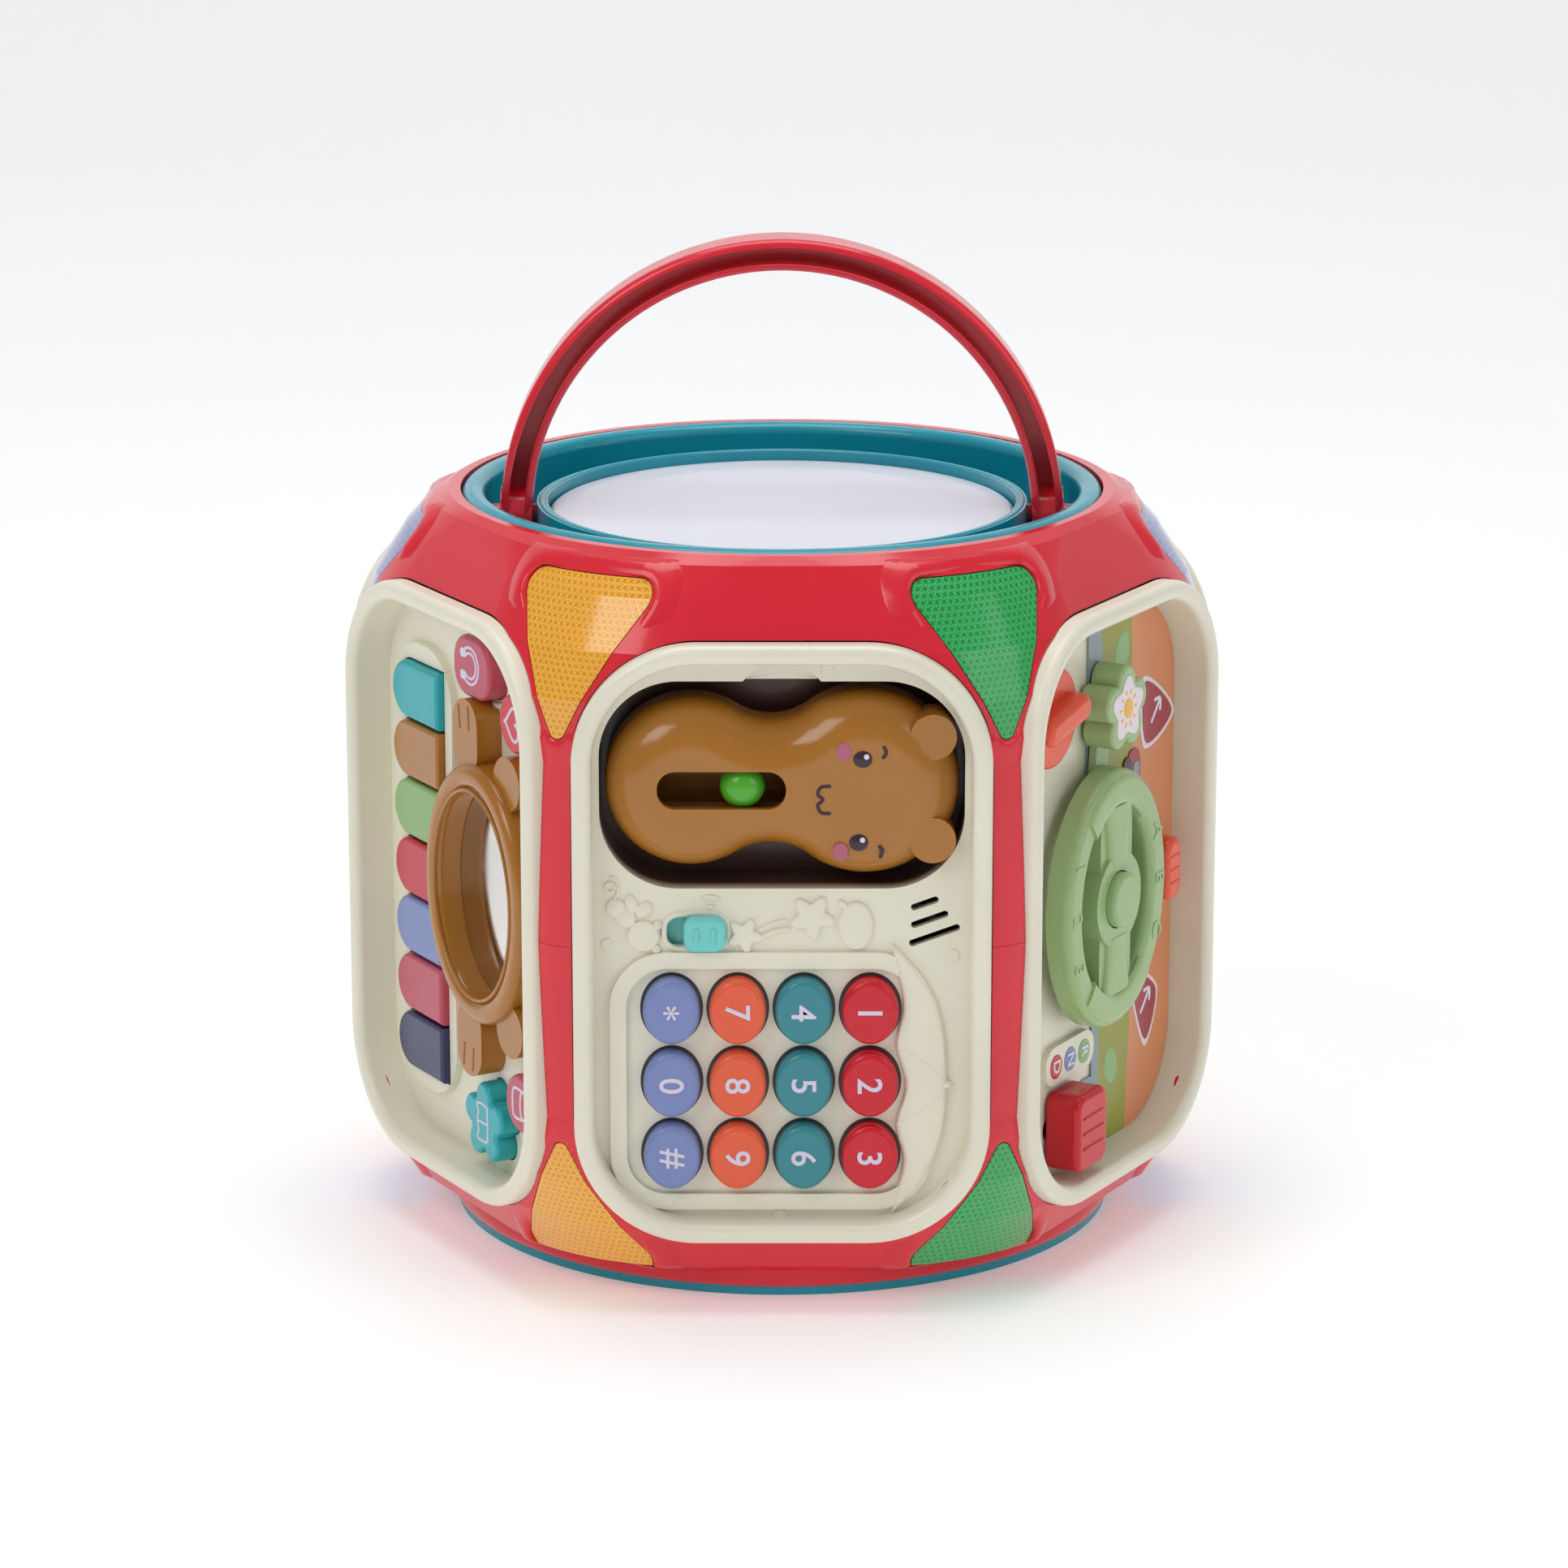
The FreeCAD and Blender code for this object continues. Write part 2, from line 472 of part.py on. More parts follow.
def add_profile(sketch, points):
    """A closed outline through (across, up) pairs, each measured from the sketch's origin."""
    corners = [Vector(number(x), number(y), 0) for x, y in points]
    lines = [sketch.addGeometry(Part.LineSegment(start, end))
             for start, end in zip(corners, corners[1:] + corners[:1])]
    for line, following in zip(lines, lines[1:] + lines[:1]):
        sketch.addConstraint(Sketcher.Constraint("Coincident", line, 2, following, 1))
    for line, corner, (x, y) in zip(lines, corners, points):
        if abs(corner.x) < 1e-9:
            sketch.addConstraint(Sketcher.Constraint("PointOnObject", line, 1, -2))
        else:
            bind(sketch, Sketcher.Constraint("DistanceX", -1, 1, line, 1, corner.x), x)
        if abs(corner.y) < 1e-9:
            sketch.addConstraint(Sketcher.Constraint("PointOnObject", line, 1, -1))
        else:
            bind(sketch, Sketcher.Constraint("DistanceY", -1, 1, line, 1, corner.y), y)


def add_feature(body, kind, sketch, volume_sign):
    """Add a sketched feature and check that it adds or removes material."""
    doc.recompute()
    before = body.Shape.Volume if body.Tip else 0.0
    feature = body.newObject("PartDesign::" + kind, body.Name + "_" + kind.lower())
    feature.Profile = sketch
    return feature, before, volume_sign


def check_feature(feature, before, volume_sign):
    """Refuse a feature that failed, or that left the solid as it was."""
    doc.recompute()
    change = (feature.Shape.Volume - before) * volume_sign
    if change <= 0 or not feature.Shape.isValid():
        raise ValueError("%s changes its solid by %.3f" % (feature.Name, change))


def pad(body, sketch, length, backwards=False):
    """Raise a sketch outwards, or backwards, by a length."""
    feature, before, sign = add_feature(body, "Pad", sketch, 1)
    feature.setExpression("Length", str(length))
    feature.Reversed = backwards
    check_feature(feature, before, sign)


def pocket(body, sketch, length, backwards=False):
    """Cut a sketch inwards, or backwards, by a length."""
    feature, before, sign = add_feature(body, "Pocket", sketch, -1)
    feature.setExpression("Length", str(length))
    feature.Reversed = backwards
    check_feature(feature, before, sign)


def revolve(body, sketch, axis="Z_Axis", angle=360, backwards=False, cut=False):
    """Turn a sketch about one of the body's own axes."""
    kind = "Groove" if cut else "Revolution"
    feature, before, sign = add_feature(body, kind, sketch, -1 if cut else 1)
    support = [item for item in body.Origin.OriginFeatures if item.Role == axis][0]
    feature.ReferenceAxis = (support, [""])
    feature.Angle = angle
    feature.Reversed = backwards
    check_feature(feature, before, sign)


def round_edges(body, radius, wanted):
    """Round the edges of the body's last feature that the test picks."""
    doc.recompute()
    base = body.Tip
    names = ["Edge%d" % index for index, edge in enumerate(base.Shape.Edges, start=1) if wanted(edge)]
    feature = body.newObject("PartDesign::Fillet", body.Name + "_fillet")
    feature.Base = (base, names)
    feature.setExpression("Radius", str(radius))
    doc.recompute()


def lies_at(distance):
    """A test for edges that lie in the plane at this distance out from the barrel's axis."""
    level = -number(distance)
    return lambda edge: max(abs(edge.BoundBox.YMin - level), abs(edge.BoundBox.YMax - level)) < 1e-4


def lies_at_height(height):
    """A test for edges that lie in one level plane."""
    level = number(height)
    return lambda edge: max(abs(edge.BoundBox.ZMin - level), abs(edge.BoundBox.ZMax - level)) < 1e-4


def new_solid(label, shape, azimuth=0):
    """A sub-part whose shape comes straight from solid operations."""
    feature = doc.addObject("Part::Feature", label)
    feature.Label = label
    feature.Shape = shape
    feature.Placement = Placement(Vector(), Rotation(UPWARD, azimuth)).multiply(shape.Placement)
    sub_parts.append(feature)


# ---------------------------------------------------------------- shells and windows

def direction(azimuth):
    """The level unit vector that points out of the barrel at an azimuth."""
    turn = math.radians(azimuth)
    return Vector(math.sin(turn), -math.cos(turn), 0)


def rounded_hexagon(flat, corner, height):
    """A level hexagon, measured to its flats, with round corners."""
    half_side = (flat - corner) * math.tan(math.radians(30))
    corner_centre = (flat - corner) / math.cos(math.radians(30))
    edges = []
    for azimuth in range(0, 360, 60):
        along = direction(azimuth + 90)
        middle = direction(azimuth) * flat + Vector(0, 0, height)
        start = middle - along * half_side
        end = middle + along * half_side
        next_along = direction(azimuth + 150)
        next_start = direction(azimuth + 60) * flat + Vector(0, 0, height) - next_along * half_side
        bend = direction(azimuth + 30) * (corner_centre + corner) + Vector(0, 0, height)
        edges.append(Part.makeLine(start, end))
        edges.append(Part.Arc(end, bend, next_start).toShape())
    return Part.Wire(edges)


def barrel_half(side, wall, closing):
    """One half of the barrel, side +1 above the middle and -1 below, shrunk by a wall."""
    rim_plane = number(RIM_PLANE)
    middle = number(MIDDLE)
    full = middle if side > 0 else middle - number("Sizes.foot_lift")
    waist = number("Sizes.waist_corner")
    shoulder = number("Sizes.shoulder_corner")
    brim = number("Sizes.brim_corner")
    sections = [(closing, "waist", waist),
                (middle - number("Sizes.waist_drop"), "waist", (waist + shoulder) / 2),
                (middle - number("Sizes.shoulder_drop"), "shoulder", shoulder),
                (middle - number("Sizes.slope_drop"), "slope", shoulder + wall),
                (full - number("Sizes.brow_drop"), "brow", (shoulder + brim) / 2),
                (full - wall, "brim", brim)]
    wires = []
    for height, name, corner in sections:
        flat = rim_plane - number("Sizes.%s_inset" % name) - wall
        wires.append(rounded_hexagon(flat, corner - wall, middle + side * height))
    return Part.makeLoft(wires, True, True)


def rounded_prism(wide, high, corner, near, far):
    """A prism facing -Y, its rounded outline centred at half height."""
    box = Part.makeBox(wide, far - near, high, Vector(-wide / 2, -far, number(MIDDLE) - high / 2))
    upright = [edge for edge in box.Edges if abs(edge.Vertexes[0].Y - edge.Vertexes[-1].Y) > 0.1]
    return box.makeFillet(corner, upright)


def lens_prism(side, azimuth, shrink):
    """The outline of a corner window, carried outwards at one corner of the barrel."""
    middle = number(MIDDLE)
    drop = number("Sizes.lens_upper_drop" if side > 0 else "Sizes.lens_lower_drop")
    wide_radius = number("Sizes.lens_round")
    tip_radius = number("Sizes.lens_tip")
    wide_level = middle - drop - wide_radius
    tip_level = number(TRAY_HIGH) / 2 - number("Sizes.lens_dip") + tip_radius
    across = number("Sizes.lens_half") - wide_radius
    near = number(RING_OUTSIDE)
    length = number(RIM_PLANE) * 1.2 - near
    spots = ((-across, wide_level, wide_radius), (across, wide_level, wide_radius),
             (0, tip_level, tip_radius))
    pieces = []
    for x, level, radius in spots:
        foot = Vector(x, -near, middle + side * level)
        pieces.append(Part.makeCylinder(radius - shrink, length, foot, Vector(0, -1, 0)))
    lean = math.atan2(wide_level - tip_level, across)
    taper = math.asin((wide_radius - tip_radius) / math.hypot(across, wide_level - tip_level))
    slant = (math.sin(lean - taper), -math.cos(lean - taper))
    corners = []
    for x, level, radius in spots[1:]:
        corners.append((x + slant[0] * (radius - shrink), level + slant[1] * (radius - shrink)))
    corners = [(across, wide_level + wide_radius - shrink)] + corners
    corners += [(-x, level) for x, level in reversed(corners)]
    points = [Vector(x, -near, middle + side * level) for x, level in corners]
    core = Part.Face(Part.makePolygon(points + points[:1])).extrude(Vector(0, -length, 0))
    return pieces[0].multiFuse(pieces[1:] + [core]).removeSplitter().rotated(Vector(), UPWARD, azimuth)


def shell_half(side):
    """One shell: a wall with six tray windows, six lens windows and an opening at its end."""
    wall = number("Sizes.shell_wall")
    seam = number("Sizes.seam_gap") / 2
    fit = number("Sizes.fit_gap")
    shape = barrel_half(side, 0, seam).cut(barrel_half(side, wall, -1))
    tray_prism = rounded_prism(number(TRAY_WIDE) + 2 * fit, number(TRAY_HIGH) + 2 * fit,
                               number("Sizes.tray_corner") + fit,
                               number(COLLAR_OUTSIDE), number(RIM_PLANE) + wall)
    tools = [tray_prism.rotated(Vector(), UPWARD, azimuth) for azimuth in range(0, 360, 60)]
    tools += [lens_prism(side, azimuth, 0) for azimuth in range(30, 360, 60)]
    return shape.cut(tools)


def make_upper_shell():
    """The upper shell, open at the top for the ring."""
    radius = number(RING_OUTSIDE) + number("Sizes.fit_gap")
    hole = Part.makeCylinder(radius, number(MIDDLE), Vector(0, 0, number(MIDDLE)))
    new_solid("upper_shell", shell_half(1).cut(hole))


def make_lower_shell():
    """The lower shell, with a floor round the battery bay and a boss for each case screw."""
    wall = number("Sizes.shell_wall")
    lift = number("Sizes.foot_lift")
    ring = number("Sizes.screw_ring")
    shape = shell_half(-1)
    bay_hole = Part.makeCylinder(ring - 2 * number("Sizes.boss_radius"), lift + wall)
    bosses = []
    bores = [bay_hole]
    for azimuth in SCREW_AZIMUTHS:
        foot = direction(azimuth) * ring
        boss_foot = foot + Vector(0, 0, lift + wall / 2)
        bosses.append(Part.makeCylinder(number("Sizes.boss_radius"),
                                        number("Sizes.boss_height"), boss_foot))
        bore = number("Sizes.screw_radius") + number("Sizes.shaft_gap")
        bores.append(Part.makeCylinder(bore, number("Sizes.screw_length") + wall, foot))
    new_solid("lower_shell", shape.multiFuse(bosses).cut(bores))


def make_lenses():
    """Four coloured windows of each colour, each filling its hole in the shell's wall."""
    wall = number("Sizes.shell_wall")
    gap = number("Sizes.fit_gap")
    walls = {side: barrel_half(side, 0, 0).cut(barrel_half(side, wall, -1)) for side in (1, -1)}
    for label, azimuths in LENS_CORNERS.items():
        panes = [walls[side].common(lens_prism(side, azimuth, gap))
                 for azimuth in azimuths for side in (1, -1)]
        new_solid(label, Part.makeCompound([pane.Solids[0] for pane in panes]))


# ---------------------------------------------------------------- top ring, pad, handle

def make_top_ring():
    """The ring, its groove for the handle, and the collar round the pad."""
    body = new_body("top_ring", height=0)
    bottom = "(%s - Sizes.ring_floor)" % GROOVE_FLOOR
    collar_top = "(%s - Sizes.collar_drop)" % RING_TOP
    profile = new_sketch(body)
    add_profile(profile, [("0", bottom), (RING_OUTSIDE, bottom), (RING_OUTSIDE, RING_TOP),
                          (RING_INSIDE, RING_TOP), (RING_INSIDE, GROOVE_FLOOR),
                          (COLLAR_OUTSIDE, GROOVE_FLOOR), (COLLAR_OUTSIDE, collar_top),
                          (COLLAR_INSIDE, collar_top), (COLLAR_INSIDE, GROOVE_FLOOR),
                          ("0", GROOVE_FLOOR)])
    revolve(body, profile)
    round_edges(body, "Sizes.ring_band * 0.42", lies_at_height(RING_TOP))
    for sign in (1, -1):
        bore = new_sketch(body, "YZ_Plane", up=HINGE_HEIGHT,
                          out="%d * (%s - Sizes.pad_gap)" % (sign, COLLAR_INSIDE))
        add_circle(bore, "Sizes.hinge_pin / 2 + Sizes.shaft_gap")
        pocket(body, bore, "%s + Sizes.fit_gap - %s + Sizes.pad_gap" % (PIN_END, COLLAR_INSIDE),
               backwards=sign > 0)


def make_drum_pad():
    """A domed disc that sinks inside the collar."""
    body = new_body("drum_pad", height="(%s - Sizes.pad_drop)" % RING_TOP)
    profile = new_sketch(body)
    low = "-Sizes.pad_thick"
    add_profile(profile, [("0", low), (PAD_RADIUS, low), (PAD_RADIUS, "-0.5"),
                          ("%s - 0.8" % PAD_RADIUS, "0.1"),
                          ("%s * 0.9" % PAD_RADIUS, "Sizes.pad_crown * 0.3"),
                          ("%s * 0.7" % PAD_RADIUS, "Sizes.pad_crown * 0.62"),
                          ("%s * 0.4" % PAD_RADIUS, "Sizes.pad_crown * 0.9"),
                          ("0", "Sizes.pad_crown")])
    revolve(body, profile)


def make_handle():
    """A half hoop of channel section, open to the front, on two pins."""
    body = new_body("handle", height=HINGE_HEIGHT)
    centre = "(%s - Sizes.handle_band / 2)" % HANDLE_OUTSIDE
    section = new_sketch(body, "XY_Plane", across=centre)
    add_rounded_box(section, "Sizes.handle_band", "Sizes.handle_deep", "Sizes.handle_skin")
    revolve(body, section, "Y_Axis", 180, backwards=True)
    channel = new_sketch(body, "XY_Plane", across=centre, up="-Sizes.handle_skin * 2")
    add_box(channel, "Sizes.handle_band - 2 * Sizes.handle_skin", "Sizes.handle_deep - 2")
    revolve(body, channel, "Y_Axis", 180, backwards=True, cut=True)
    for sign in (1, -1):
        foot = new_sketch(body, "YZ_Plane", out="%d * %s" % (sign, HANDLE_INSIDE))
        add_circle(foot, "Sizes.handle_deep / 2")
        pad(body, foot, "Sizes.handle_band", backwards=sign < 0)
        pin = new_sketch(body, "YZ_Plane", out="%d * %s" % (sign, PIN_START))
        add_circle(pin, "Sizes.hinge_pin / 2")
        pad(body, pin, "%s - %s" % (PIN_END, PIN_START), backwards=sign < 0)


# ---------------------------------------------------------------- base

def make_base_cover():
    """The underside: a ring to stand on, a battery bay and countersunk screw holes."""
    body = new_body("base_cover", height=0)
    plate_top = "(Sizes.foot_lift - Sizes.seam_gap)"
    disc = new_sketch(body, "XY_Plane")
    add_circle(disc, BASE_RADIUS)
    pad(body, disc, plate_top)
    bay = new_sketch(body, "XY_Plane", out=plate_top)
    add_box(bay, "Sizes.bay_length + 2 * Sizes.bay_wall", "Sizes.bay_width + 2 * Sizes.bay_wall")
    pad(body, bay, "Sizes.bay_height + Sizes.bay_wall - %s" % plate_top)
    hollow = new_sketch(body, "XY_Plane")
    add_circle(hollow, "%s - Sizes.foot_band" % BASE_RADIUS)
    pocket(body, hollow, "Sizes.foot_step", backwards=True)
    lip = new_sketch(body, "XY_Plane")
    add_rounded_box(lip, "Sizes.bay_length + 2 * Sizes.door_lip",
                    "Sizes.bay_width + 2 * Sizes.door_lip", "Sizes.door_lip")
    pocket(body, lip, "Sizes.foot_step + Sizes.door_thick + Sizes.seam_gap", backwards=True)
    room = new_sketch(body, "XY_Plane")
    add_box(room, "Sizes.bay_length", "Sizes.bay_width")
    pocket(body, room, "Sizes.bay_height", backwards=True)
    for azimuth in SCREW_AZIMUTHS:
        spot = direction(azimuth) * number("Sizes.screw_ring")
        for radius, depth in (("Sizes.screw_radius + Sizes.slide_gap", "Sizes.foot_lift"),
                              ("Sizes.screw_head + Sizes.slide_gap",
                               "Sizes.foot_step + Sizes.screw_cap")):
            hole = new_sketch(body, "XY_Plane",
                              across="Sizes.screw_ring * %.6f" % (spot.x / spot.Length),
                              up="Sizes.screw_ring * %.6f" % (spot.y / spot.Length))
            add_circle(hole, radius)
            pocket(body, hole, depth, backwards=True)


def make_battery_door():
    """A plate in the mouth of the bay."""
    body = new_body("battery_door", height="Sizes.foot_step")
    plate = new_sketch(body, "XY_Plane")
    add_rounded_box(plate, "Sizes.bay_length + 2 * Sizes.door_lip - 2 * Sizes.fit_gap",
                    "Sizes.bay_width + 2 * Sizes.door_lip - 2 * Sizes.fit_gap",
                    "Sizes.door_lip - Sizes.fit_gap")
    pad(body, plate, "Sizes.door_thick")
    grip = new_sketch(body, "XY_Plane", up="Sizes.bay_width / 2")
    add_rounded_box(grip, "Sizes.bay_length / 4", "Sizes.door_lip", "Sizes.door_lip / 3")
    pocket(body, grip, "Sizes.door_thick / 2", backwards=True)


def make_case_screws():
    """Pan-head screws through the base cover into the lower shell's bosses."""
    screws = []
    for azimuth in SCREW_AZIMUTHS:
        spot = direction(azimuth) * number("Sizes.screw_ring")
        foot = spot + Vector(0, 0, number("Sizes.foot_step"))
        head = Part.makeCylinder(number("Sizes.screw_head"), number("Sizes.screw_cap"), foot)
        shank = Part.makeCylinder(number("Sizes.screw_radius"), number("Sizes.screw_length"), foot)
        slot_size = number("Sizes.screw_cap") / 2
        slot = Part.makeBox(2 * number("Sizes.screw_head"), slot_size, slot_size,
                            foot - Vector(number("Sizes.screw_head"), slot_size / 2, 0))
        screws.append(head.fuse(shank).cut(slot))
    new_solid("case_screws", Part.makeCompound([screw.Solids[0] for screw in screws]))


def make_batteries():
    """Three cells side by side, each with its terminal."""
    cells = []
    along = Vector(1, 0, 0)
    level = number("Sizes.foot_step + Sizes.door_thick + Sizes.cell_radius + 3 * Sizes.seam_gap")
    for place in (-1, 0, 1):
        start = Vector(-number("Sizes.cell_length") / 2, place * number("Sizes.cell_pitch"), level)
        cell = Part.makeCylinder(number("Sizes.cell_radius"), number("Sizes.cell_length"),
                                 start, along)
        tip = Part.makeCylinder(number("Sizes.cell_radius") / 3,
                                number("Sizes.cell_length + Sizes.seam_gap * 15"), start, along)
        cells.append(cell.fuse(tip))
    new_solid("batteries", Part.makeCompound([cell.Solids[0] for cell in cells]))


# ---------------------------------------------------------------- trays

def make_tray(name, depth="Sizes.tray_depth"):
    """A plain tray: a beaded rim, side walls and a floor. Returns its body."""
    body = new_body(name + "_panel", SIDES[name])
    floor_back = "(%s - (%s) - Sizes.tray_wall)" % (RIM_PLANE, depth)
    rim_back = "(%s - Sizes.rim_height)" % RIM_PLANE
    rim = new_sketch(body, out=rim_back)
    add_rounded_box(rim, TRAY_WIDE, TRAY_HIGH, "Sizes.tray_corner")
    pad(body, rim, "Sizes.rim_height")
    tub = new_sketch(body, out=floor_back)
    add_rounded_box(tub, "%s + 2 * Sizes.tray_side" % OPENING_WIDE,
                    "%s + 2 * Sizes.tray_side" % OPENING_HIGH,
                    "%s + Sizes.tray_side" % OPENING_CORNER)
    pad(body, tub, "%s - %s" % (rim_back, floor_back))
    opening = new_sketch(body, out=RIM_PLANE)
    add_rounded_box(opening, OPENING_WIDE, OPENING_HIGH, OPENING_CORNER)
    pocket(body, opening, depth)
    round_edges(body, "Sizes.rim_round", lies_at(RIM_PLANE))
    return body


def cut_hole(body, outline, across, up, out, depth="Sizes.tray_wall + 1"):
    """Cut a hole through a floor; outline draws it on the sketch."""
    sketch = new_sketch(body, across=across, up=up, out=out)
    outline(sketch)
    pocket(body, sketch, depth)


def raise_shape(body, outline, across, up, out, rise, turn=0):
    """Raise a shape from a floor; outline draws it on the sketch."""
    sketch = new_sketch(body, across=across, up=up, out=out, turn=turn)
    outline(sketch)
    pad(body, sketch, rise)


def petals(across, up, reach):
    """The centres of five lobes round a point, one of them straight above it."""
    for petal in range(5):
        turn = math.radians(72 * petal + 90)
        yield ("(%s + %s * %.5f)" % (across, reach, math.cos(turn)),
               "(%s + %s * %.5f)" % (up, reach, math.sin(turn)))


def phone_key_place(row, column):
    """Where a telephone key stands, as two expressions."""
    across = "(Sizes.keypad_across + %.1f * Sizes.key_pitch_across)" % (column - 1.5)
    up = "(Sizes.keypad_up + %d * Sizes.key_pitch_up)" % (1 - row)
    return across, up


def make_phone_panel():
    """The telephone tray: a deep handset recess over a framed keypad."""
    body = make_tray("phone", "Sizes.phone_depth")
    cradle_back = "(%s - Sizes.cradle_deep - Sizes.tray_wall)" % RIM_PLANE
    wall = "2 * Sizes.tray_side"
    box = new_sketch(body, up="Sizes.cradle_up", out=cradle_back)
    add_rounded_box(box, "Sizes.cradle_wide + " + wall, "Sizes.cradle_high + " + wall,
                    "Sizes.cradle_round + Sizes.tray_side")
    pad(body, box, "%s - %s" % (PHONE_FLOOR, cradle_back))
    cradle = new_sketch(body, up="Sizes.cradle_up", out=PHONE_FLOOR)
    add_rounded_box(cradle, "Sizes.cradle_wide", "Sizes.cradle_high", "Sizes.cradle_round")
    pocket(body, cradle, "Sizes.cradle_deep - Sizes.phone_depth")
    thumb = new_sketch(body, out=PHONE_FLOOR,
                       up="Sizes.cradle_up + Sizes.cradle_high / 2 + Sizes.thumb_rise - Sizes.thumb_radius")
    add_circle(thumb, "Sizes.thumb_radius")
    pocket(body, thumb, "Sizes.cradle_deep - Sizes.phone_depth")
    frame = new_sketch(body, across="Sizes.keypad_across", up="Sizes.keypad_up", out=PHONE_FLOOR)
    inner_wide = "(4 * Sizes.key_pitch_across + 6)"
    inner_high = "(3 * Sizes.key_pitch_up + 2)"
    add_rounded_box(frame, "%s + 2 * Sizes.keypad_frame" % inner_wide,
                    "%s + 2 * Sizes.keypad_frame" % inner_high, "Sizes.keypad_corner")
    add_rounded_box(frame, inner_wide, inner_high, "Sizes.keypad_corner - Sizes.keypad_frame")
    pad(body, frame, "Sizes.keypad_frame_rise")
    for row in range(3):
        for column in range(4):
            across, up = phone_key_place(row, column)
            cut_hole(body, lambda sketch: add_oval(sketch, "Sizes.key_wide + 2 * Sizes.slide_gap",
                                                   "Sizes.key_high + 2 * Sizes.slide_gap"),
                     across, up, PHONE_FLOOR)
    cut_hole(body, lambda sketch: add_rounded_box(sketch, "Sizes.switch_slot",
                                                  "Sizes.switch_slot_high",
                                                  "Sizes.switch_slot_high / 2.2"),
             SWITCH_SLOT_ACROSS, "Sizes.switch_up", PHONE_FLOOR)
    for index, length in enumerate((7, 9.5, 13)):
        slot = new_sketch(body, across="%.1f" % (34.5 + 1.2 * index), up="%.1f" % (9.5 - 4 * index),
                          out=PHONE_FLOOR, turn=20)
        add_rounded_box(slot, str(length), "Sizes.sound_slot", "Sizes.sound_slot / 2.1")
        pocket(body, slot, "Sizes.tray_wall + 1")


def make_phone_keys():
    """Twelve oval keys, each kept in its hole by a flange."""
    stem = "(%s + Sizes.key_rise - %s + Sizes.flange_gap)" % (PHONE_FLOOR, PHONE_BACK)
    flange_top = "(%s - Sizes.flange_gap)" % PHONE_BACK
    top = "(%s + Sizes.key_rise)" % PHONE_FLOOR
    for row, names in enumerate(PHONE_KEYS):
        for column, name in enumerate(names):
            body = new_body("phone_key_" + name, SIDES["phone"])
            across, up = phone_key_place(row, column)
            raise_shape(body, lambda sketch: add_oval(sketch, "Sizes.key_wide + 2 * Sizes.flange_lap",
                                                      "Sizes.key_high + 2 * Sizes.flange_lap"),
                        across, up, "(%s - Sizes.flange_thick)" % flange_top, "Sizes.flange_thick")
            raise_shape(body, lambda sketch: add_oval(sketch, "Sizes.key_wide", "Sizes.key_high"),
                        across, up, flange_top, stem)
            round_edges(body, "Sizes.key_round", lies_at(top))


def make_slide_switch():
    """The volume switch: a plate behind the slot, a stem through it and a ribbed cap."""
    body = new_body("slide_switch", SIDES["phone"])
    plate_back = "(%s - Sizes.flange_gap - Sizes.flange_thick)" % PHONE_BACK
    cap_back = "(%s + Sizes.flange_gap)" % PHONE_FLOOR
    cap_top = "(%s + Sizes.switch_rise)" % PHONE_FLOOR
    spot = ("Sizes.switch_across", "Sizes.switch_up")
    raise_shape(body, lambda sketch: add_rounded_box(sketch, "2 * Sizes.switch_slot",
                                                     "Sizes.switch_slot_high + 2 * Sizes.switch_lap",
                                                     "Sizes.slot_corner"),
                *spot, plate_back, "Sizes.flange_thick")
    raise_shape(body, lambda sketch: add_rounded_box(sketch, "Sizes.switch_wide - Sizes.switch_lap",
                                                     "Sizes.switch_slot_high - 2 * Sizes.slide_gap",
                                                     "Sizes.slot_corner"),
                *spot, "(%s + Sizes.flange_thick)" % plate_back,
                "%s - %s - Sizes.flange_thick" % (cap_back, plate_back))
    raise_shape(body, lambda sketch: add_rounded_box(sketch, "Sizes.switch_wide",
                                                     "Sizes.switch_high", "Sizes.switch_corner"),
                *spot, cap_back, "Sizes.switch_rise - Sizes.flange_gap")
    round_edges(body, "Sizes.button_edge", lies_at(cap_top))
    for shift in (-1, 1):
        raise_shape(body, lambda sketch: add_rounded_box(sketch, "Sizes.rib_wide", "Sizes.rib_high",
                                                         "Sizes.rib_rise"),
                    "Sizes.switch_across + %d * Sizes.rib_apart" % shift, spot[1], cap_top,
                    "Sizes.rib_rise")


def make_sound_and_board():
    """The circuit board behind the keys and the loudspeaker behind the slots."""
    board = new_body("main_board", SIDES["phone"])
    raise_shape(board, lambda sketch: add_rounded_box(sketch, "5 * Sizes.key_pitch_across",
                                                      "3 * Sizes.key_pitch_up + 1",
                                                      "Sizes.slot_corner"),
                "Sizes.keypad_across + 1.5", "Sizes.keypad_up",
                "(%s - Sizes.board_thick)" % BOARD_FRONT, "Sizes.board_thick")
    speaker = new_body("speaker", SIDES["phone"])
    frame_front = "(%s - 2 * Sizes.board_thick)" % BOARD_FRONT
    spot = ("Sizes.speaker_across", "Sizes.speaker_up")
    raise_shape(speaker, lambda sketch: add_circle(sketch, "Sizes.speaker_radius / 2"), *spot,
                "(%s - Sizes.speaker_deep)" % frame_front, "Sizes.speaker_deep / 2")
    raise_shape(speaker, lambda sketch: add_circle(sketch, "Sizes.speaker_radius"), *spot,
                "(%s - Sizes.speaker_deep / 2)" % frame_front, "Sizes.speaker_deep / 2")
    cone = new_sketch(speaker, across=spot[0], up=spot[1], out=frame_front)
    add_circle(cone, "Sizes.speaker_radius - 2")
    pocket(speaker, cone, "Sizes.speaker_deep / 3")


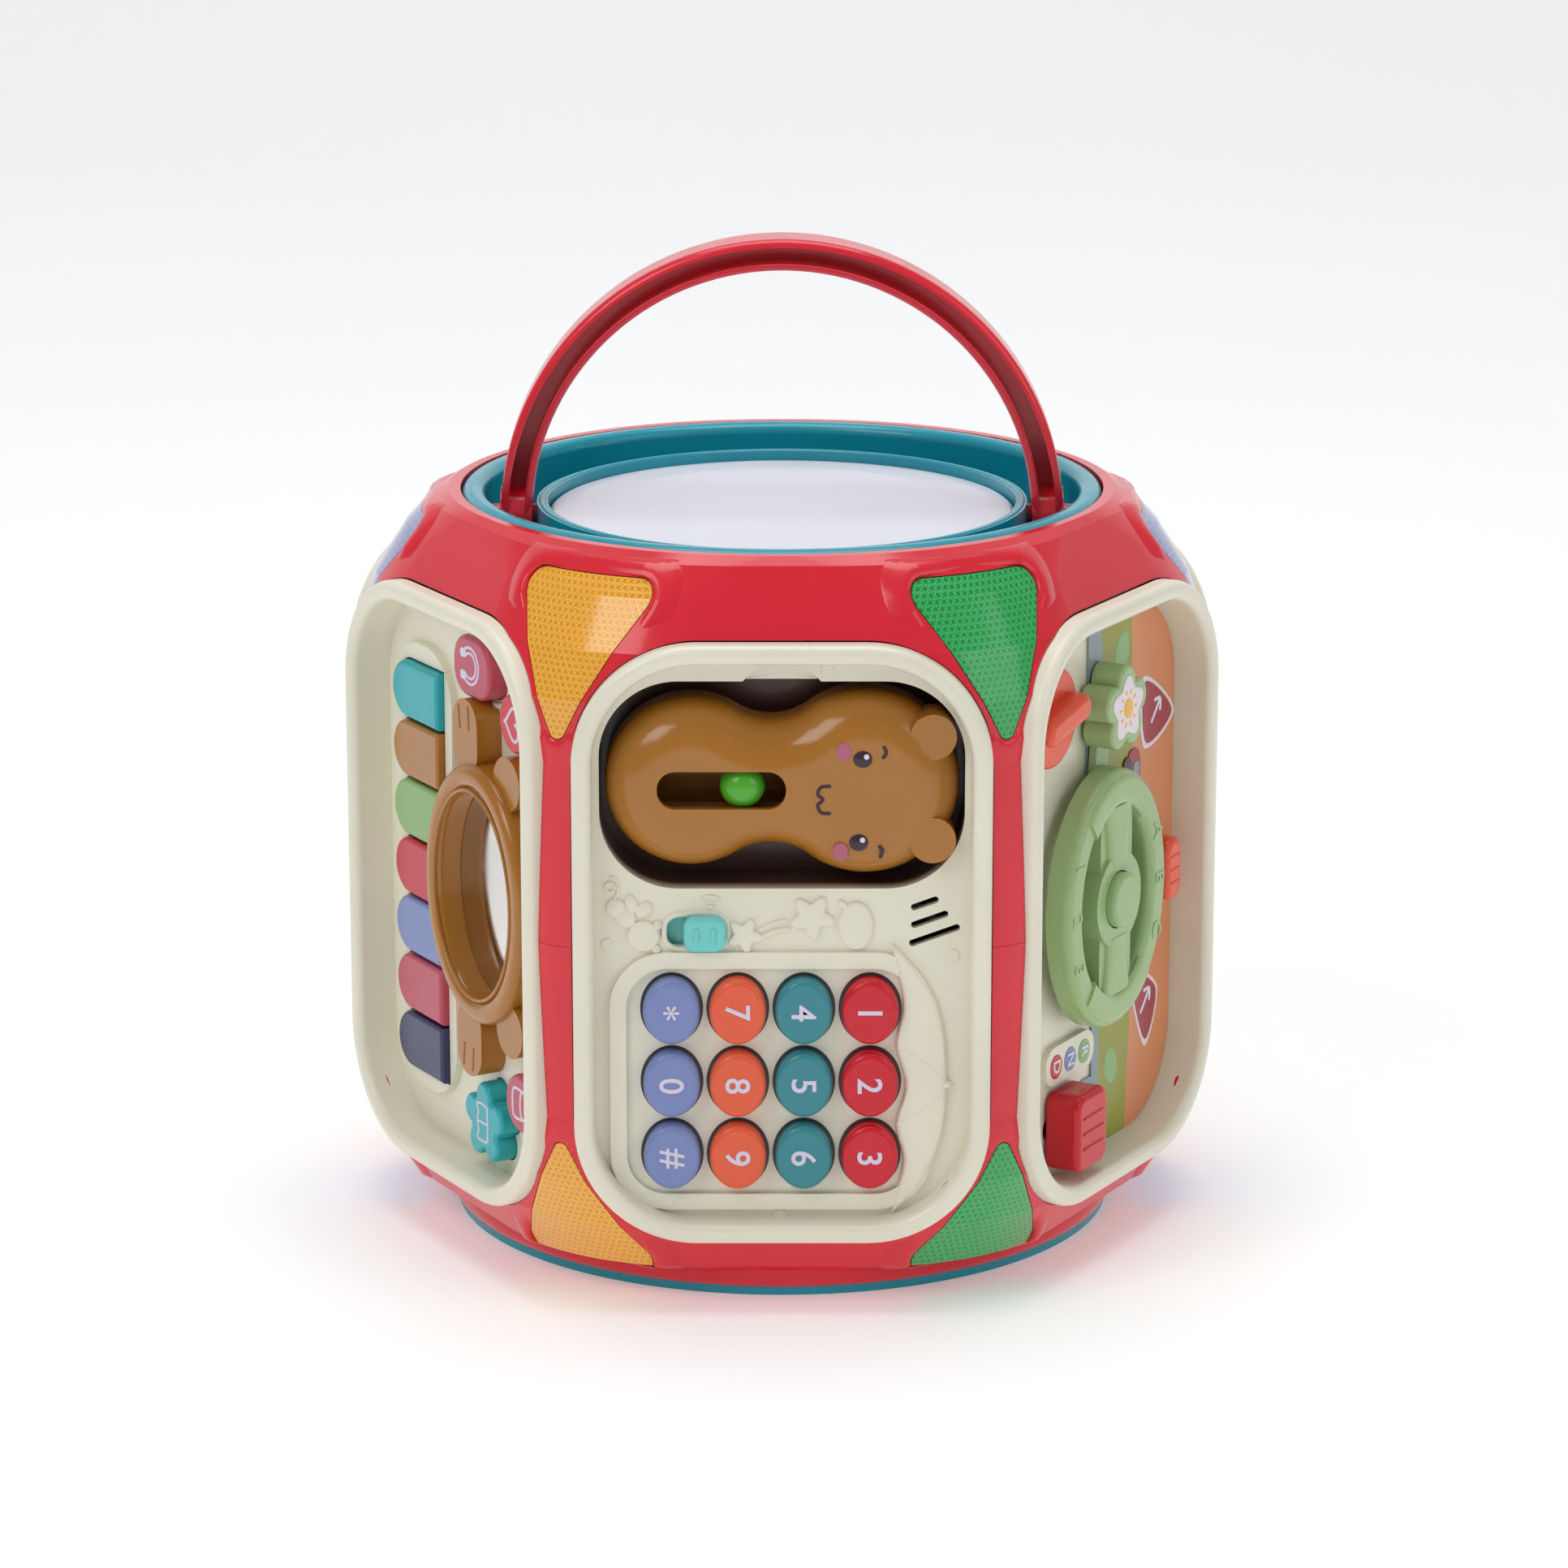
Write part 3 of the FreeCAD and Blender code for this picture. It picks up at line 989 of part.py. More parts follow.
def handset_outline(sketch, shrink=0):
    """The handset's peanut outline, shrunk all round."""
    apart = ("(Sizes.cradle_wide - 2 * Sizes.handset_gap - Sizes.lobe_left - Sizes.lobe_right)")
    add_peanut(sketch, apart, "Sizes.lobe_left - %s" % shrink, "Sizes.lobe_right - %s" % shrink,
               "Sizes.lobe_waist + %s" % shrink)


HANDSET_MIDDLE = "((Sizes.lobe_left - Sizes.lobe_right) / 2)"
HANDSET_BACK = "(%s - Sizes.cradle_deep + Sizes.handset_lift)" % RIM_PLANE
HANDSET_SEAM = "(%s + Sizes.handset_back_thick)" % HANDSET_BACK
HANDSET_FRONT = "(%s + Sizes.handset_front_thick)" % HANDSET_SEAM
EAR_ACROSS = "(Sizes.cradle_wide / 2 - Sizes.handset_gap - Sizes.ear_radius - Sizes.handset_lift)"
BALL_OUT = "(%s - Sizes.ball_skin - Sizes.ball_radius * 0.64)" % HANDSET_FRONT


def make_handset():
    """Two half shells of the handset; the front one carries the ball's channel and the ears."""
    front = new_body("handset_front", SIDES["phone"])
    outline = new_sketch(front, across=HANDSET_MIDDLE, up="Sizes.cradle_up", out=HANDSET_SEAM)
    handset_outline(outline)
    pad(front, outline, "Sizes.handset_front_thick")
    round_edges(front, "Sizes.handset_round", lies_at(HANDSET_FRONT))
    for sign in (1, -1):
        ear = new_sketch(front, across=EAR_ACROSS, out=HANDSET_SEAM,
                         up="Sizes.cradle_up + %d * Sizes.ear_apart / 2" % sign)
        add_circle(ear, "Sizes.ear_radius")
        pad(front, ear, "Sizes.handset_front_thick - 1.5")
    slot = new_sketch(front, across="Sizes.ball_across", up="Sizes.cradle_up", out=HANDSET_FRONT)
    add_rounded_box(slot, "Sizes.ball_track", "Sizes.ball_slot", "Sizes.ball_slot / 2.1")
    pocket(front, slot, "Sizes.ball_skin + 1")
    channel = new_sketch(front, across="Sizes.ball_across", up="Sizes.cradle_up", out=HANDSET_SEAM)
    add_box(channel, "Sizes.ball_track + 2", "2 * Sizes.ball_radius + 1")
    pocket(front, channel, "Sizes.handset_front_thick - Sizes.ball_skin", backwards=True)
    back = new_body("handset_back", SIDES["phone"])
    shell = new_sketch(back, across=HANDSET_MIDDLE, up="Sizes.cradle_up", out=HANDSET_BACK)
    handset_outline(shell)
    pad(back, shell, "Sizes.handset_back_thick - Sizes.seam_gap")
    round_edges(back, "Sizes.handset_round / 2", lies_at(HANDSET_BACK))
    hollow = new_sketch(back, across=HANDSET_MIDDLE, up="Sizes.cradle_up",
                        out="(%s - Sizes.seam_gap)" % HANDSET_SEAM)
    handset_outline(hollow, 6)
    pocket(back, hollow, "Sizes.handset_back_thick - 2 * Sizes.ball_skin")


def make_rattle_ball():
    """A ball that runs along the handset's slot and can't come out."""
    across = number("Sizes.ball_across + Sizes.ball_rest")
    centre = Vector(across, -number(BALL_OUT), number(MIDDLE) + number("Sizes.cradle_up"))
    new_solid("rattle_ball", Part.makeSphere(number("Sizes.ball_radius"), centre))


def piano_key_up(index):
    """The height of a piano key, counted from the top."""
    return "(Sizes.piano_up + %d * Sizes.piano_pitch)" % (3 - index)


MODE_BUTTONS = (("mode_button_song", 11, 59.4), ("mode_button_heart", 33, 50),
                ("mode_button_star", 14, -57), ("mode_button_drum", 34, -46.5))


def mode_outline(name, margin):
    """How one of the mode buttons is drawn, with a margin all round."""
    if name == "mode_button_song":
        return lambda sketch: add_rounded_box(sketch, "Sizes.mode_wide + 2 * (%s)" % margin,
                                              "Sizes.mode_high + 2 * (%s)" % margin,
                                              "Sizes.mode_high / 2.3 + %s" % margin)
    if name == "mode_button_star":
        return lambda sketch: add_circle(sketch, "Sizes.star_reach + 0.6 + %s" % margin)
    return lambda sketch: add_circle(sketch, "Sizes.mode_radius + %s" % margin)


def make_piano_panel():
    """The piano tray: a raised bed for seven keys and holes for four mode buttons."""
    body = make_tray("piano")
    raise_shape(body, lambda sketch: add_rounded_box(sketch, "Sizes.piano_long + 7",
                                                     "7 * Sizes.piano_pitch + 9", "Sizes.plateau_corner"),
                "Sizes.piano_across + 0.6", "Sizes.piano_up", FLOOR, "Sizes.plateau_rise")
    bed = "(%s + Sizes.plateau_rise)" % FLOOR
    cut_hole(body, lambda sketch: add_oval(sketch, "Sizes.mirror_wide + 2 * Sizes.fit_gap",
                                           "Sizes.mirror_high + 2 * Sizes.fit_gap"),
             "Sizes.mirror_across", "Sizes.mirror_up", bed, "Sizes.plateau_rise")
    for index in range(len(PIANO_KEYS)):
        cut_hole(body, lambda sketch: add_key_shape(sketch, "Sizes.piano_long + 2 * Sizes.slide_gap",
                                                    "Sizes.piano_pitch + 0.2"),
                 "Sizes.piano_across", piano_key_up(index), bed,
                 "Sizes.tray_wall + Sizes.plateau_rise + 1")
    for name, across, up in MODE_BUTTONS:
        cut_hole(body, mode_outline(name, "Sizes.slide_gap"), across, up, FLOOR)
        if name == "mode_button_star":
            for spot in petals(across, up, "Sizes.star_reach"):
                cut_hole(body, lambda sketch: add_circle(sketch, "Sizes.star_lobe + Sizes.slide_gap"),
                         *spot, FLOOR)


def make_piano_keys():
    """Seven keys with a rounded left end, each with a tongue behind the floor."""
    for index, name in enumerate(PIANO_KEYS):
        body = new_body("piano_key_" + name, SIDES["piano"])
        spot = ("Sizes.piano_across", piano_key_up(index))
        high = "(Sizes.piano_pitch - Sizes.piano_gap)"
        raise_shape(body, lambda sketch: add_box(sketch, "Sizes.piano_long + 2 * Sizes.flange_lap + 1.6",
                                                 "%s - 2" % high),
                    *spot, CATCH_DEPTH, "Sizes.flange_thick")
        base = "(%s + Sizes.flange_thick)" % CATCH_DEPTH
        top = "(%s + Sizes.piano_rise)" % FLOOR
        raise_shape(body, lambda sketch: add_key_shape(sketch, "Sizes.piano_long", high),
                    *spot, base, "%s - %s" % (top, base))
        round_edges(body, "Sizes.piano_round", lies_at(top))


def make_mode_buttons():
    """Four buttons: two round, one oblong and one star with five lobes."""
    base = "(%s + Sizes.flange_thick)" % CATCH_DEPTH
    top = "(%s + Sizes.mode_rise)" % FLOOR
    for name, across, up in MODE_BUTTONS:
        body = new_body(name, SIDES["piano"])
        lap = "Sizes.slide_gap + Sizes.flange_lap"
        if name == "mode_button_star":
            lap = "Sizes.star_lobe + Sizes.flange_lap"
        raise_shape(body, mode_outline(name, lap), across, up, CATCH_DEPTH, "Sizes.flange_thick")
        raise_shape(body, mode_outline(name, "0"), across, up, base, "%s - %s" % (top, base))
        if name == "mode_button_star":
            for spot in petals(across, up, "Sizes.star_reach"):
                raise_shape(body, lambda sketch: add_circle(sketch, "Sizes.star_lobe"), *spot, base,
                            "%s - %s" % (top, base))
        round_edges(body, "Sizes.mode_round", lies_at(top))


def make_mirror():
    """The animal-shaped mirror frame with arms and ears, and the mirror inside it."""
    frame = new_body("mirror_frame", SIDES["piano"])
    foot = "(%s + Sizes.seam_gap)" % FLOOR
    ring = new_sketch(frame, across="Sizes.mirror_across", up="Sizes.mirror_up", out=foot)
    inner = "- 2 * Sizes.mirror_band"
    add_oval(ring, "Sizes.mirror_wide", "Sizes.mirror_high")
    add_oval(ring, "Sizes.mirror_wide " + inner, "Sizes.mirror_high " + inner)
    pad(frame, ring, "Sizes.mirror_rise")
    round_edges(frame, "Sizes.mirror_round", lies_at("%s + Sizes.mirror_rise" % foot))
    end = "Sizes.mirror_up + %d * (Sizes.mirror_high / 2 + %.1f)"
    for sign in (1, -1):
        raise_shape(frame, lambda sketch: add_rounded_box(sketch, "Sizes.arm_wide", "Sizes.arm_long",
                                                          "Sizes.arm_wide / 2.06"),
                    "Sizes.mirror_across - 6", end % (sign, 6), foot, "Sizes.mirror_rise * 0.75")
        raise_shape(frame, lambda sketch: add_circle(sketch, "Sizes.mirror_ear"),
                    "Sizes.mirror_across + 15", end % (sign, -1.5), foot, "Sizes.mirror_rise * 0.7")
    mirror = new_body("mirror", SIDES["piano"])
    gap = "- 2 * Sizes.mirror_band - 2 * Sizes.fit_gap"
    raise_shape(mirror, lambda sketch: add_oval(sketch, "Sizes.mirror_wide " + gap,
                                                "Sizes.mirror_high " + gap),
                "Sizes.mirror_across", "Sizes.mirror_up", foot, "Sizes.mirror_glass")


def make_driving_panel():
    """The driving tray: shaft holes, knob slots and a raised letter plate."""
    body = make_tray("driving")
    bore = "Sizes.shaft_radius + Sizes.shaft_gap"
    for name in ("wheel", "knob", "lever"):
        cut_hole(body, lambda sketch: add_circle(sketch, bore), "Sizes.%s_across" % name,
                 "Sizes.%s_up" % name, FLOOR)
    cut_hole(body, lambda sketch: add_rounded_box(
        sketch, "Sizes.stem_high + 2 * Sizes.slide_gap",
        "Sizes.stem_wide + 2 * Sizes.signal_travel + 2 * Sizes.slide_gap", "Sizes.slot_corner"),
             "Sizes.signal_across", "Sizes.signal_up", FLOOR)
    cut_hole(body, lambda sketch: add_rounded_box(
        sketch, "Sizes.stem_wide + 2 * Sizes.gear_travel + 2 * Sizes.slide_gap",
        "Sizes.stem_high + 2 * Sizes.slide_gap", "Sizes.slot_corner"),
             "Sizes.gear_across", "Sizes.gear_up", FLOOR)
    raise_shape(body, lambda sketch: add_rounded_box(sketch, "Sizes.plate_wide", "Sizes.plate_high",
                                                     "Sizes.plate_high / 2.2"),
                "Sizes.plate_across", "Sizes.plate_up", FLOOR, "Sizes.plate_rise")


def make_scene_card():
    """The printed card that lines the right of the driving tray."""
    wide = number(OPENING_WIDE) - 2 * number("Sizes.card_margin")
    high = number(OPENING_HIGH) - 2 * number("Sizes.card_margin")
    corner = number(OPENING_CORNER) - number("Sizes.card_margin")
    near = number(FLOOR) + number("Sizes.seam_gap") / 2
    sheet_prism = rounded_prism(wide, high, corner, near, near + number("Sizes.card_thick"))
    tall = 2 * high
    left = Part.makeBox(tall, tall, tall, Vector(number("Sizes.card_edge") - tall, -near - tall / 2,
                                                 number(MIDDLE) - tall / 2))
    tools = [left]
    gap = number("Sizes.seam_gap")
    for name, radius in (("wheel", number("Sizes.shaft_radius") + gap * 3),
                         ("lever", number("Sizes.shaft_radius") + gap * 3)):
        foot = Vector(number("Sizes.%s_across" % name), 0,
                      number(MIDDLE) + number("Sizes.%s_up" % name))
        tools.append(Part.makeCylinder(radius, number(RIM_PLANE), foot, Vector(0, -1, 0)))
    tools.append(slot_tool("signal", number("Sizes.stem_high"),
                           number("Sizes.stem_wide + 2 * Sizes.signal_travel")))
    tools.append(slot_tool("gear", number("Sizes.stem_wide + 2 * Sizes.gear_travel"),
                           number("Sizes.stem_high")))
    tools.append(slot_tool("plate", number("Sizes.plate_wide"), number("Sizes.plate_high + 6")))
    new_solid("scene_card", sheet_prism.cut(tools), SIDES["driving"])


def slot_tool(name, wide, high):
    """A box that clears one feature of the driving tray out of the card."""
    margin = 2 * number("Sizes.slide_gap")
    across = number("Sizes.%s_across" % name)
    up = number(MIDDLE) + number("Sizes.%s_up" % name)
    deep = number(RIM_PLANE)
    return Part.makeBox(wide + 2 * margin, deep, high + 2 * margin,
                        Vector(across - wide / 2 - margin, -deep, up - high / 2 - margin))


def add_shaft(body, across, up, start, floor_back=FLOOR_BACK, radius="Sizes.shaft_radius"):
    """A shaft from a turning piece back through the floor, with a catch behind it."""
    catch_front = "(%s - Sizes.flange_gap)" % floor_back
    raise_shape(body, lambda sketch: add_circle(sketch, radius), across, up, catch_front,
                "%s - %s" % (start, catch_front))
    raise_shape(body, lambda sketch: add_circle(sketch, "%s + Sizes.shaft_catch" % radius), across,
                up, "(%s - Sizes.flange_thick)" % catch_front, "Sizes.flange_thick")


WHEEL_BACK = "(%s + Sizes.wheel_lift)" % FLOOR
WHEEL_FRONT = "(%s + Sizes.wheel_thick)" % WHEEL_BACK


def make_steering_wheel():
    """An oval wheel with two broad spokes, a hub with a pocket for the horn, and a shaft."""
    body = new_body("steering_wheel", SIDES["driving"])
    spot = ("Sizes.wheel_across", "Sizes.wheel_up")
    ring = new_sketch(body, across=spot[0], up=spot[1], out=WHEEL_BACK)
    add_oval(ring, "Sizes.wheel_wide", "Sizes.wheel_high")
    add_oval(ring, "Sizes.wheel_wide - 2 * Sizes.wheel_band",
             "Sizes.wheel_high - 2 * Sizes.wheel_band")
    pad(body, ring, "Sizes.wheel_thick")
    round_edges(body, "Sizes.wheel_edge", lies_at(WHEEL_FRONT))
    raise_shape(body, lambda sketch: add_rounded_box(sketch, "Sizes.wheel_spoke",
                                                     "Sizes.wheel_high - Sizes.wheel_band",
                                                     "Sizes.slot_corner"),
                *spot, WHEEL_BACK, "Sizes.wheel_thick - 1")
    raise_shape(body, lambda sketch: add_circle(sketch, "Sizes.wheel_hub"), *spot, WHEEL_BACK,
                "Sizes.wheel_thick")
    well = new_sketch(body, across=spot[0], up=spot[1], out=WHEEL_FRONT)
    add_circle(well, "Sizes.horn_radius + Sizes.slide_gap")
    pocket(body, well, "Sizes.horn_deep + Sizes.press_room")
    add_shaft(body, *spot, WHEEL_BACK)


def make_horn_button():
    """The button in the wheel's hub."""
    body = new_body("horn_button", SIDES["driving"])
    raise_shape(body, lambda sketch: add_circle(sketch, "Sizes.horn_radius"),
                "Sizes.wheel_across", "Sizes.wheel_up", "(%s - Sizes.horn_deep)" % WHEEL_FRONT,
                "Sizes.horn_deep + Sizes.horn_rise")
    round_edges(body, "Sizes.button_edge", lies_at("%s + Sizes.horn_rise" % WHEEL_FRONT))


def make_ignition_knob():
    """A round disc with a finger ridge across it."""
    body = new_body("ignition_knob", SIDES["driving"])
    spot = ("Sizes.knob_across", "Sizes.knob_up")
    back = "(%s + Sizes.flange_gap)" % FLOOR
    raise_shape(body, lambda sketch: add_circle(sketch, "Sizes.knob_radius"), *spot, back,
                "Sizes.knob_disc")
    round_edges(body, "Sizes.button_edge", lies_at("%s + Sizes.knob_disc" % back))
    raise_shape(body, lambda sketch: add_rounded_box(sketch, "Sizes.grip_long", "Sizes.grip_wide",
                                                     "Sizes.grip_wide / 2.06"),
                *spot, back, "Sizes.knob_rise - Sizes.flange_gap", turn=12)
    round_edges(body, "Sizes.slot_corner", lies_at("%s + Sizes.knob_rise" % FLOOR))
    add_shaft(body, *spot, back)


def make_star_lever():
    """A star-shaped head on a stalk that swings on a shaft behind the wheel."""
    body = new_body("star_lever", SIDES["driving"])
    back = "(%s + Sizes.card_thick + Sizes.lever_lift)" % FLOOR
    top = "(%s + Sizes.head_thick)" % back
    rise_across = number("Sizes.star_across - Sizes.lever_across")
    rise_up = number("Sizes.star_up - Sizes.lever_up")
    lean = -math.degrees(math.atan2(rise_across, rise_up))
    raise_shape(body, lambda sketch: add_rounded_box(
        sketch, "Sizes.lever_width", "Sizes.star_up - Sizes.lever_up + Sizes.lever_width",
        "Sizes.lever_width / 2.1"),
                "(Sizes.star_across + Sizes.lever_across) / 2",
                "(Sizes.star_up + Sizes.lever_up) / 2", back, "Sizes.lever_thick", turn=lean)
    raise_shape(body, lambda sketch: add_circle(sketch, "Sizes.head_reach + Sizes.slot_corner / 2.5"),
                "Sizes.star_across", "Sizes.star_up", back, "Sizes.head_thick")
    for spot in petals("Sizes.star_across", "Sizes.star_up", "Sizes.head_reach"):
        raise_shape(body, lambda sketch: add_circle(sketch, "Sizes.head_lobe"), *spot, back,
                    "Sizes.head_thick")
    round_edges(body, "Sizes.button_edge - 0.2", lies_at(top))
    add_shaft(body, "Sizes.lever_across", "Sizes.lever_up", back)


def make_sliding_knob(label, spot, size, rise, stem):
    """A knob over the floor, a stem through its slot and a plate behind it."""
    body = new_body(label, SIDES["driving"])
    back = "(%s + Sizes.card_thick + Sizes.flange_gap)" % FLOOR
    top = "(%s + %s)" % (FLOOR, rise)
    plate_front = "(%s - Sizes.flange_gap)" % FLOOR_BACK
    raise_shape(body, lambda sketch: add_rounded_box(sketch, "(%s) + 2 * Sizes.catch_lap" % stem[0],
                                                     "(%s) + 2 * Sizes.catch_lap" % stem[1],
                                                     "Sizes.stem_corner"),
                *spot, "(%s - Sizes.flange_thick)" % plate_front, "Sizes.flange_thick")
    raise_shape(body, lambda sketch: add_rounded_box(sketch, stem[0], stem[1],
                                                     "Sizes.stem_corner"), *spot,
                plate_front, "%s - %s" % (back, plate_front))
    raise_shape(body, lambda sketch: add_rounded_box(sketch, size[0], size[1],
                                                     "Sizes.slider_corner"), *spot, back,
                "%s - %s" % (top, back))
    round_edges(body, "Sizes.slider_edge", lies_at(top))


def make_driving_sliders():
    """The signal slider, which moves up and down, and the gear lever, which moves across."""
    make_sliding_knob("signal_slider", ("Sizes.signal_across", "Sizes.signal_up"),
                      ("Sizes.signal_wide", "Sizes.signal_high"), "Sizes.signal_rise",
                      ("Sizes.stem_high", "Sizes.stem_wide"))
    make_sliding_knob("gear_lever", ("Sizes.gear_across", "Sizes.gear_up"),
                      ("Sizes.gear_wide", "Sizes.gear_high"), "Sizes.gear_rise",
                      ("Sizes.stem_wide", "Sizes.stem_high"))


# ---------------------------------------------------------------- back trays

GEAR_BACK = "(%s + Sizes.gear_lift)" % FLOOR
SMALL_UP = "(Sizes.large_up - (Sizes.large_teeth + Sizes.small_teeth) * Sizes.gear_module / 2)"


def involute_flank(base, tip, steps=5):
    """Points of an involute from its base circle to the tip, the first one on the across axis."""
    limit = math.sqrt((tip / base) ** 2 - 1)
    points = []
    for step in range(steps + 1):
        roll = limit * step / steps
        points.append(Vector(base * (math.cos(roll) + roll * math.sin(roll)),
                             base * (math.sin(roll) - roll * math.cos(roll)), 0))
    return points


def gear_face(teeth, phase):
    """A spur gear's outline with involute flanks, lying flat about the origin."""
    module = number("Sizes.gear_module")
    pitch = teeth * module / 2
    pressure = math.radians(25)
    base = pitch * math.cos(pressure)
    root = pitch - 1.1 * module
    tip = pitch + 0.75 * module
    half_thick = (math.pi * module / 2 - number("Sizes.gear_backlash")) / 2 / pitch
    lean = math.tan(pressure) - pressure + half_thick
    edges = []
    step = 2 * math.pi / teeth
    for tooth in range(teeth):
        middle = phase + tooth * step
        rising = [turned(point, middle - lean) for point in involute_flank(base, tip)]
        falling = [turned(Vector(point.x, -point.y, 0), middle + lean)
                   for point in reversed(involute_flank(base, tip))]
        foot_in = turned(Vector(root, 0, 0), middle - lean)
        foot_out = turned(Vector(root, 0, 0), middle + lean)
        next_foot = turned(Vector(root, 0, 0), middle + step - lean)
        valley = turned(Vector(root, 0, 0), middle + step / 2)
        crest = turned(Vector(tip, 0, 0), middle)
        flank_up = Part.BSplineCurve()
        flank_up.interpolate(rising)
        flank_down = Part.BSplineCurve()
        flank_down.interpolate(falling)
        edges += [Part.makeLine(foot_in, rising[0]), flank_up.toShape(),
                  Part.Arc(rising[-1], crest, falling[0]).toShape(), flank_down.toShape(),
                  Part.makeLine(falling[-1], foot_out), Part.Arc(foot_out, valley, next_foot).toShape()]
    return Part.Face(Part.Wire(edges))


def turned(point, angle):
    """A point turned about the origin."""
    return Rotation(UPWARD, math.degrees(angle)).multVec(point)


def make_play_gear(label, teeth, up, phase):
    """A thick play gear with finger holes and a shaft through the floor."""
    thick = number("Sizes.gear_thick")
    module = number("Sizes.gear_module")
    wheel = gear_face(teeth, phase).extrude(Vector(0, 0, thick))
    radius = number("Sizes.shaft_radius")
    catch_top = number(FLOOR_BACK) - number("Sizes.flange_gap") - number(GEAR_BACK)
    shaft = Part.makeCylinder(radius, thick - catch_top, Vector(0, 0, catch_top))
    catch = Part.makeCylinder(radius + number("Sizes.shaft_catch"), number("Sizes.flange_thick"),
                              Vector(0, 0, catch_top - number("Sizes.flange_thick")))
    ring = (teeth * module / 2 - module + radius) / 2 + 1
    hole_radius = (teeth * module / 2 - 1.6 * module - radius) / 3.2
    holes = [Part.makeCylinder(hole_radius, thick,
                               turned(Vector(ring, 0, 0), math.radians(index * 72)))
             for index in range(5)]
    shape = wheel.fuse([shaft, catch]).cut(holes)
    shape.Placement = Placement(Vector(0, -number(GEAR_BACK), number(MIDDLE) + up),
                                Rotation(Vector(1, 0, 0), 90))
    new_solid(label, Part.makeCompound(shape.Solids).Solids[0], SIDES["gear"])


def make_gear_panel():
    """The gear tray, with a hole for each shaft."""
    body = make_tray("gear")
    for up in ("Sizes.large_up", SMALL_UP):
        cut_hole(body, lambda sketch: add_circle(sketch, "Sizes.shaft_radius + Sizes.shaft_gap"),
                 0, up, FLOOR)


def make_play_gears():
    """Two meshed gears, tooth into gap on the line between their centres."""
    make_play_gear("gear_large", int(number("Sizes.large_teeth")), number("Sizes.large_up"),
                   -math.pi / 2)
    small = int(number("Sizes.small_teeth"))
    make_play_gear("gear_small", small, number(SMALL_UP), math.pi / 2 + math.pi / small)


ROLLER_OUT = "(%s - Sizes.roller_sink)" % RIM_PLANE
TUB_HALF = "(Sizes.roller_radius + Sizes.roller_room)"
TUB_LONG = "(Sizes.roller_length + 2 * Sizes.flange_gap)"


def make_roller_panel():
    """The roller tray: a deep tub with a bore for the roller's pin at each end."""
    body = make_tray("roller")
    tub_floor = "(%s - %s)" % (ROLLER_OUT, TUB_HALF)
    tub_back = "(%s - Sizes.tray_side)" % tub_floor
    tub = new_sketch(body, up="Sizes.roller_up", out=tub_back)
    add_rounded_box(tub, "%s + 4 * Sizes.tray_side" % TUB_LONG,
                    "2 * %s + 2 * Sizes.tray_side" % TUB_HALF, "2 * Sizes.tray_side")
    pad(body, tub, "%s - %s" % (FLOOR, tub_back))
    room = new_sketch(body, up="Sizes.roller_up", out=FLOOR)
    add_box(room, TUB_LONG, "2 * " + TUB_HALF)
    pocket(body, room, "%s - %s" % (FLOOR, tub_floor))
    bore = new_sketch(body, "YZ_Plane", across="-" + ROLLER_OUT, up="Sizes.roller_up",
                      out="-(%s / 2 + Sizes.tray_side + Sizes.slide_gap)" % TUB_LONG)
    add_circle(bore, "Sizes.roller_pin + Sizes.shaft_gap")
    pocket(body, bore, "%s + 2 * Sizes.tray_side + 2 * Sizes.slide_gap" % TUB_LONG, backwards=True)


def make_roller():
    """A grooved roller on two pins."""
    length = number("Sizes.roller_length")
    radius = number("Sizes.roller_radius")
    across = Vector(1, 0, 0)
    centre = Vector(0, -number(ROLLER_OUT), number(MIDDLE) + number("Sizes.roller_up"))
    drum = Part.makeCylinder(radius, length, centre - across * (length / 2), across)
    pin_length = length + 2 * number("Sizes.flange_gap") + 2 * number("Sizes.tray_side")
    pin = Part.makeCylinder(number("Sizes.roller_pin"), pin_length,
                            centre - across * (pin_length / 2), across)
    groove = Part.makeCylinder(number("Sizes.roller_groove"), length,
                               centre - across * (length / 2) + Vector(0, 0, radius), across)
    grooves = []
    for index in range(16):
        tool = groove.copy()
        tool.rotate(centre, across, index * 22.5)
        grooves.append(tool)
    new_solid("roller", drum.cut(grooves).fuse(pin), SIDES["roller"])


def make_spinner_panel():
    """The spinner tray, with a hole for the spinner's shaft."""
    body = make_tray("spinner")
    cut_hole(body, lambda sketch: add_circle(sketch, "Sizes.shaft_radius + Sizes.shaft_gap"),
             0, "Sizes.spinner_up", FLOOR)


def make_spinner():
    """A flower of five round blades on a hub."""
    body = new_body("spinner", SIDES["spinner"])
    back = "(%s + Sizes.gear_lift)" % FLOOR
    raise_shape(body, lambda sketch: add_circle(sketch, "Sizes.spinner_hub"), 0, "Sizes.spinner_up",
                back, "Sizes.gear_thick + 1")
    for spot in petals(0, "Sizes.spinner_up", "Sizes.blade_reach"):
        raise_shape(body, lambda sketch: add_circle(sketch, "Sizes.blade_radius"), *spot, back,
                    "Sizes.gear_thick - 1")
    add_shaft(body, 0, "Sizes.spinner_up", back)


# ---------------------------------------------------------------- assembly

def check_objects():
    """Refuse a document with a failed object or an unusable sub-part."""
    doc.recompute()
    faults = [item.Name for item in doc.Objects if {"Invalid", "Error"} & set(item.State)]
    faults += [item.Label for item in sub_parts if item.Shape.isNull() or not item.Shape.isValid()]
    if faults:
        raise ValueError("failed: " + ", ".join(faults))


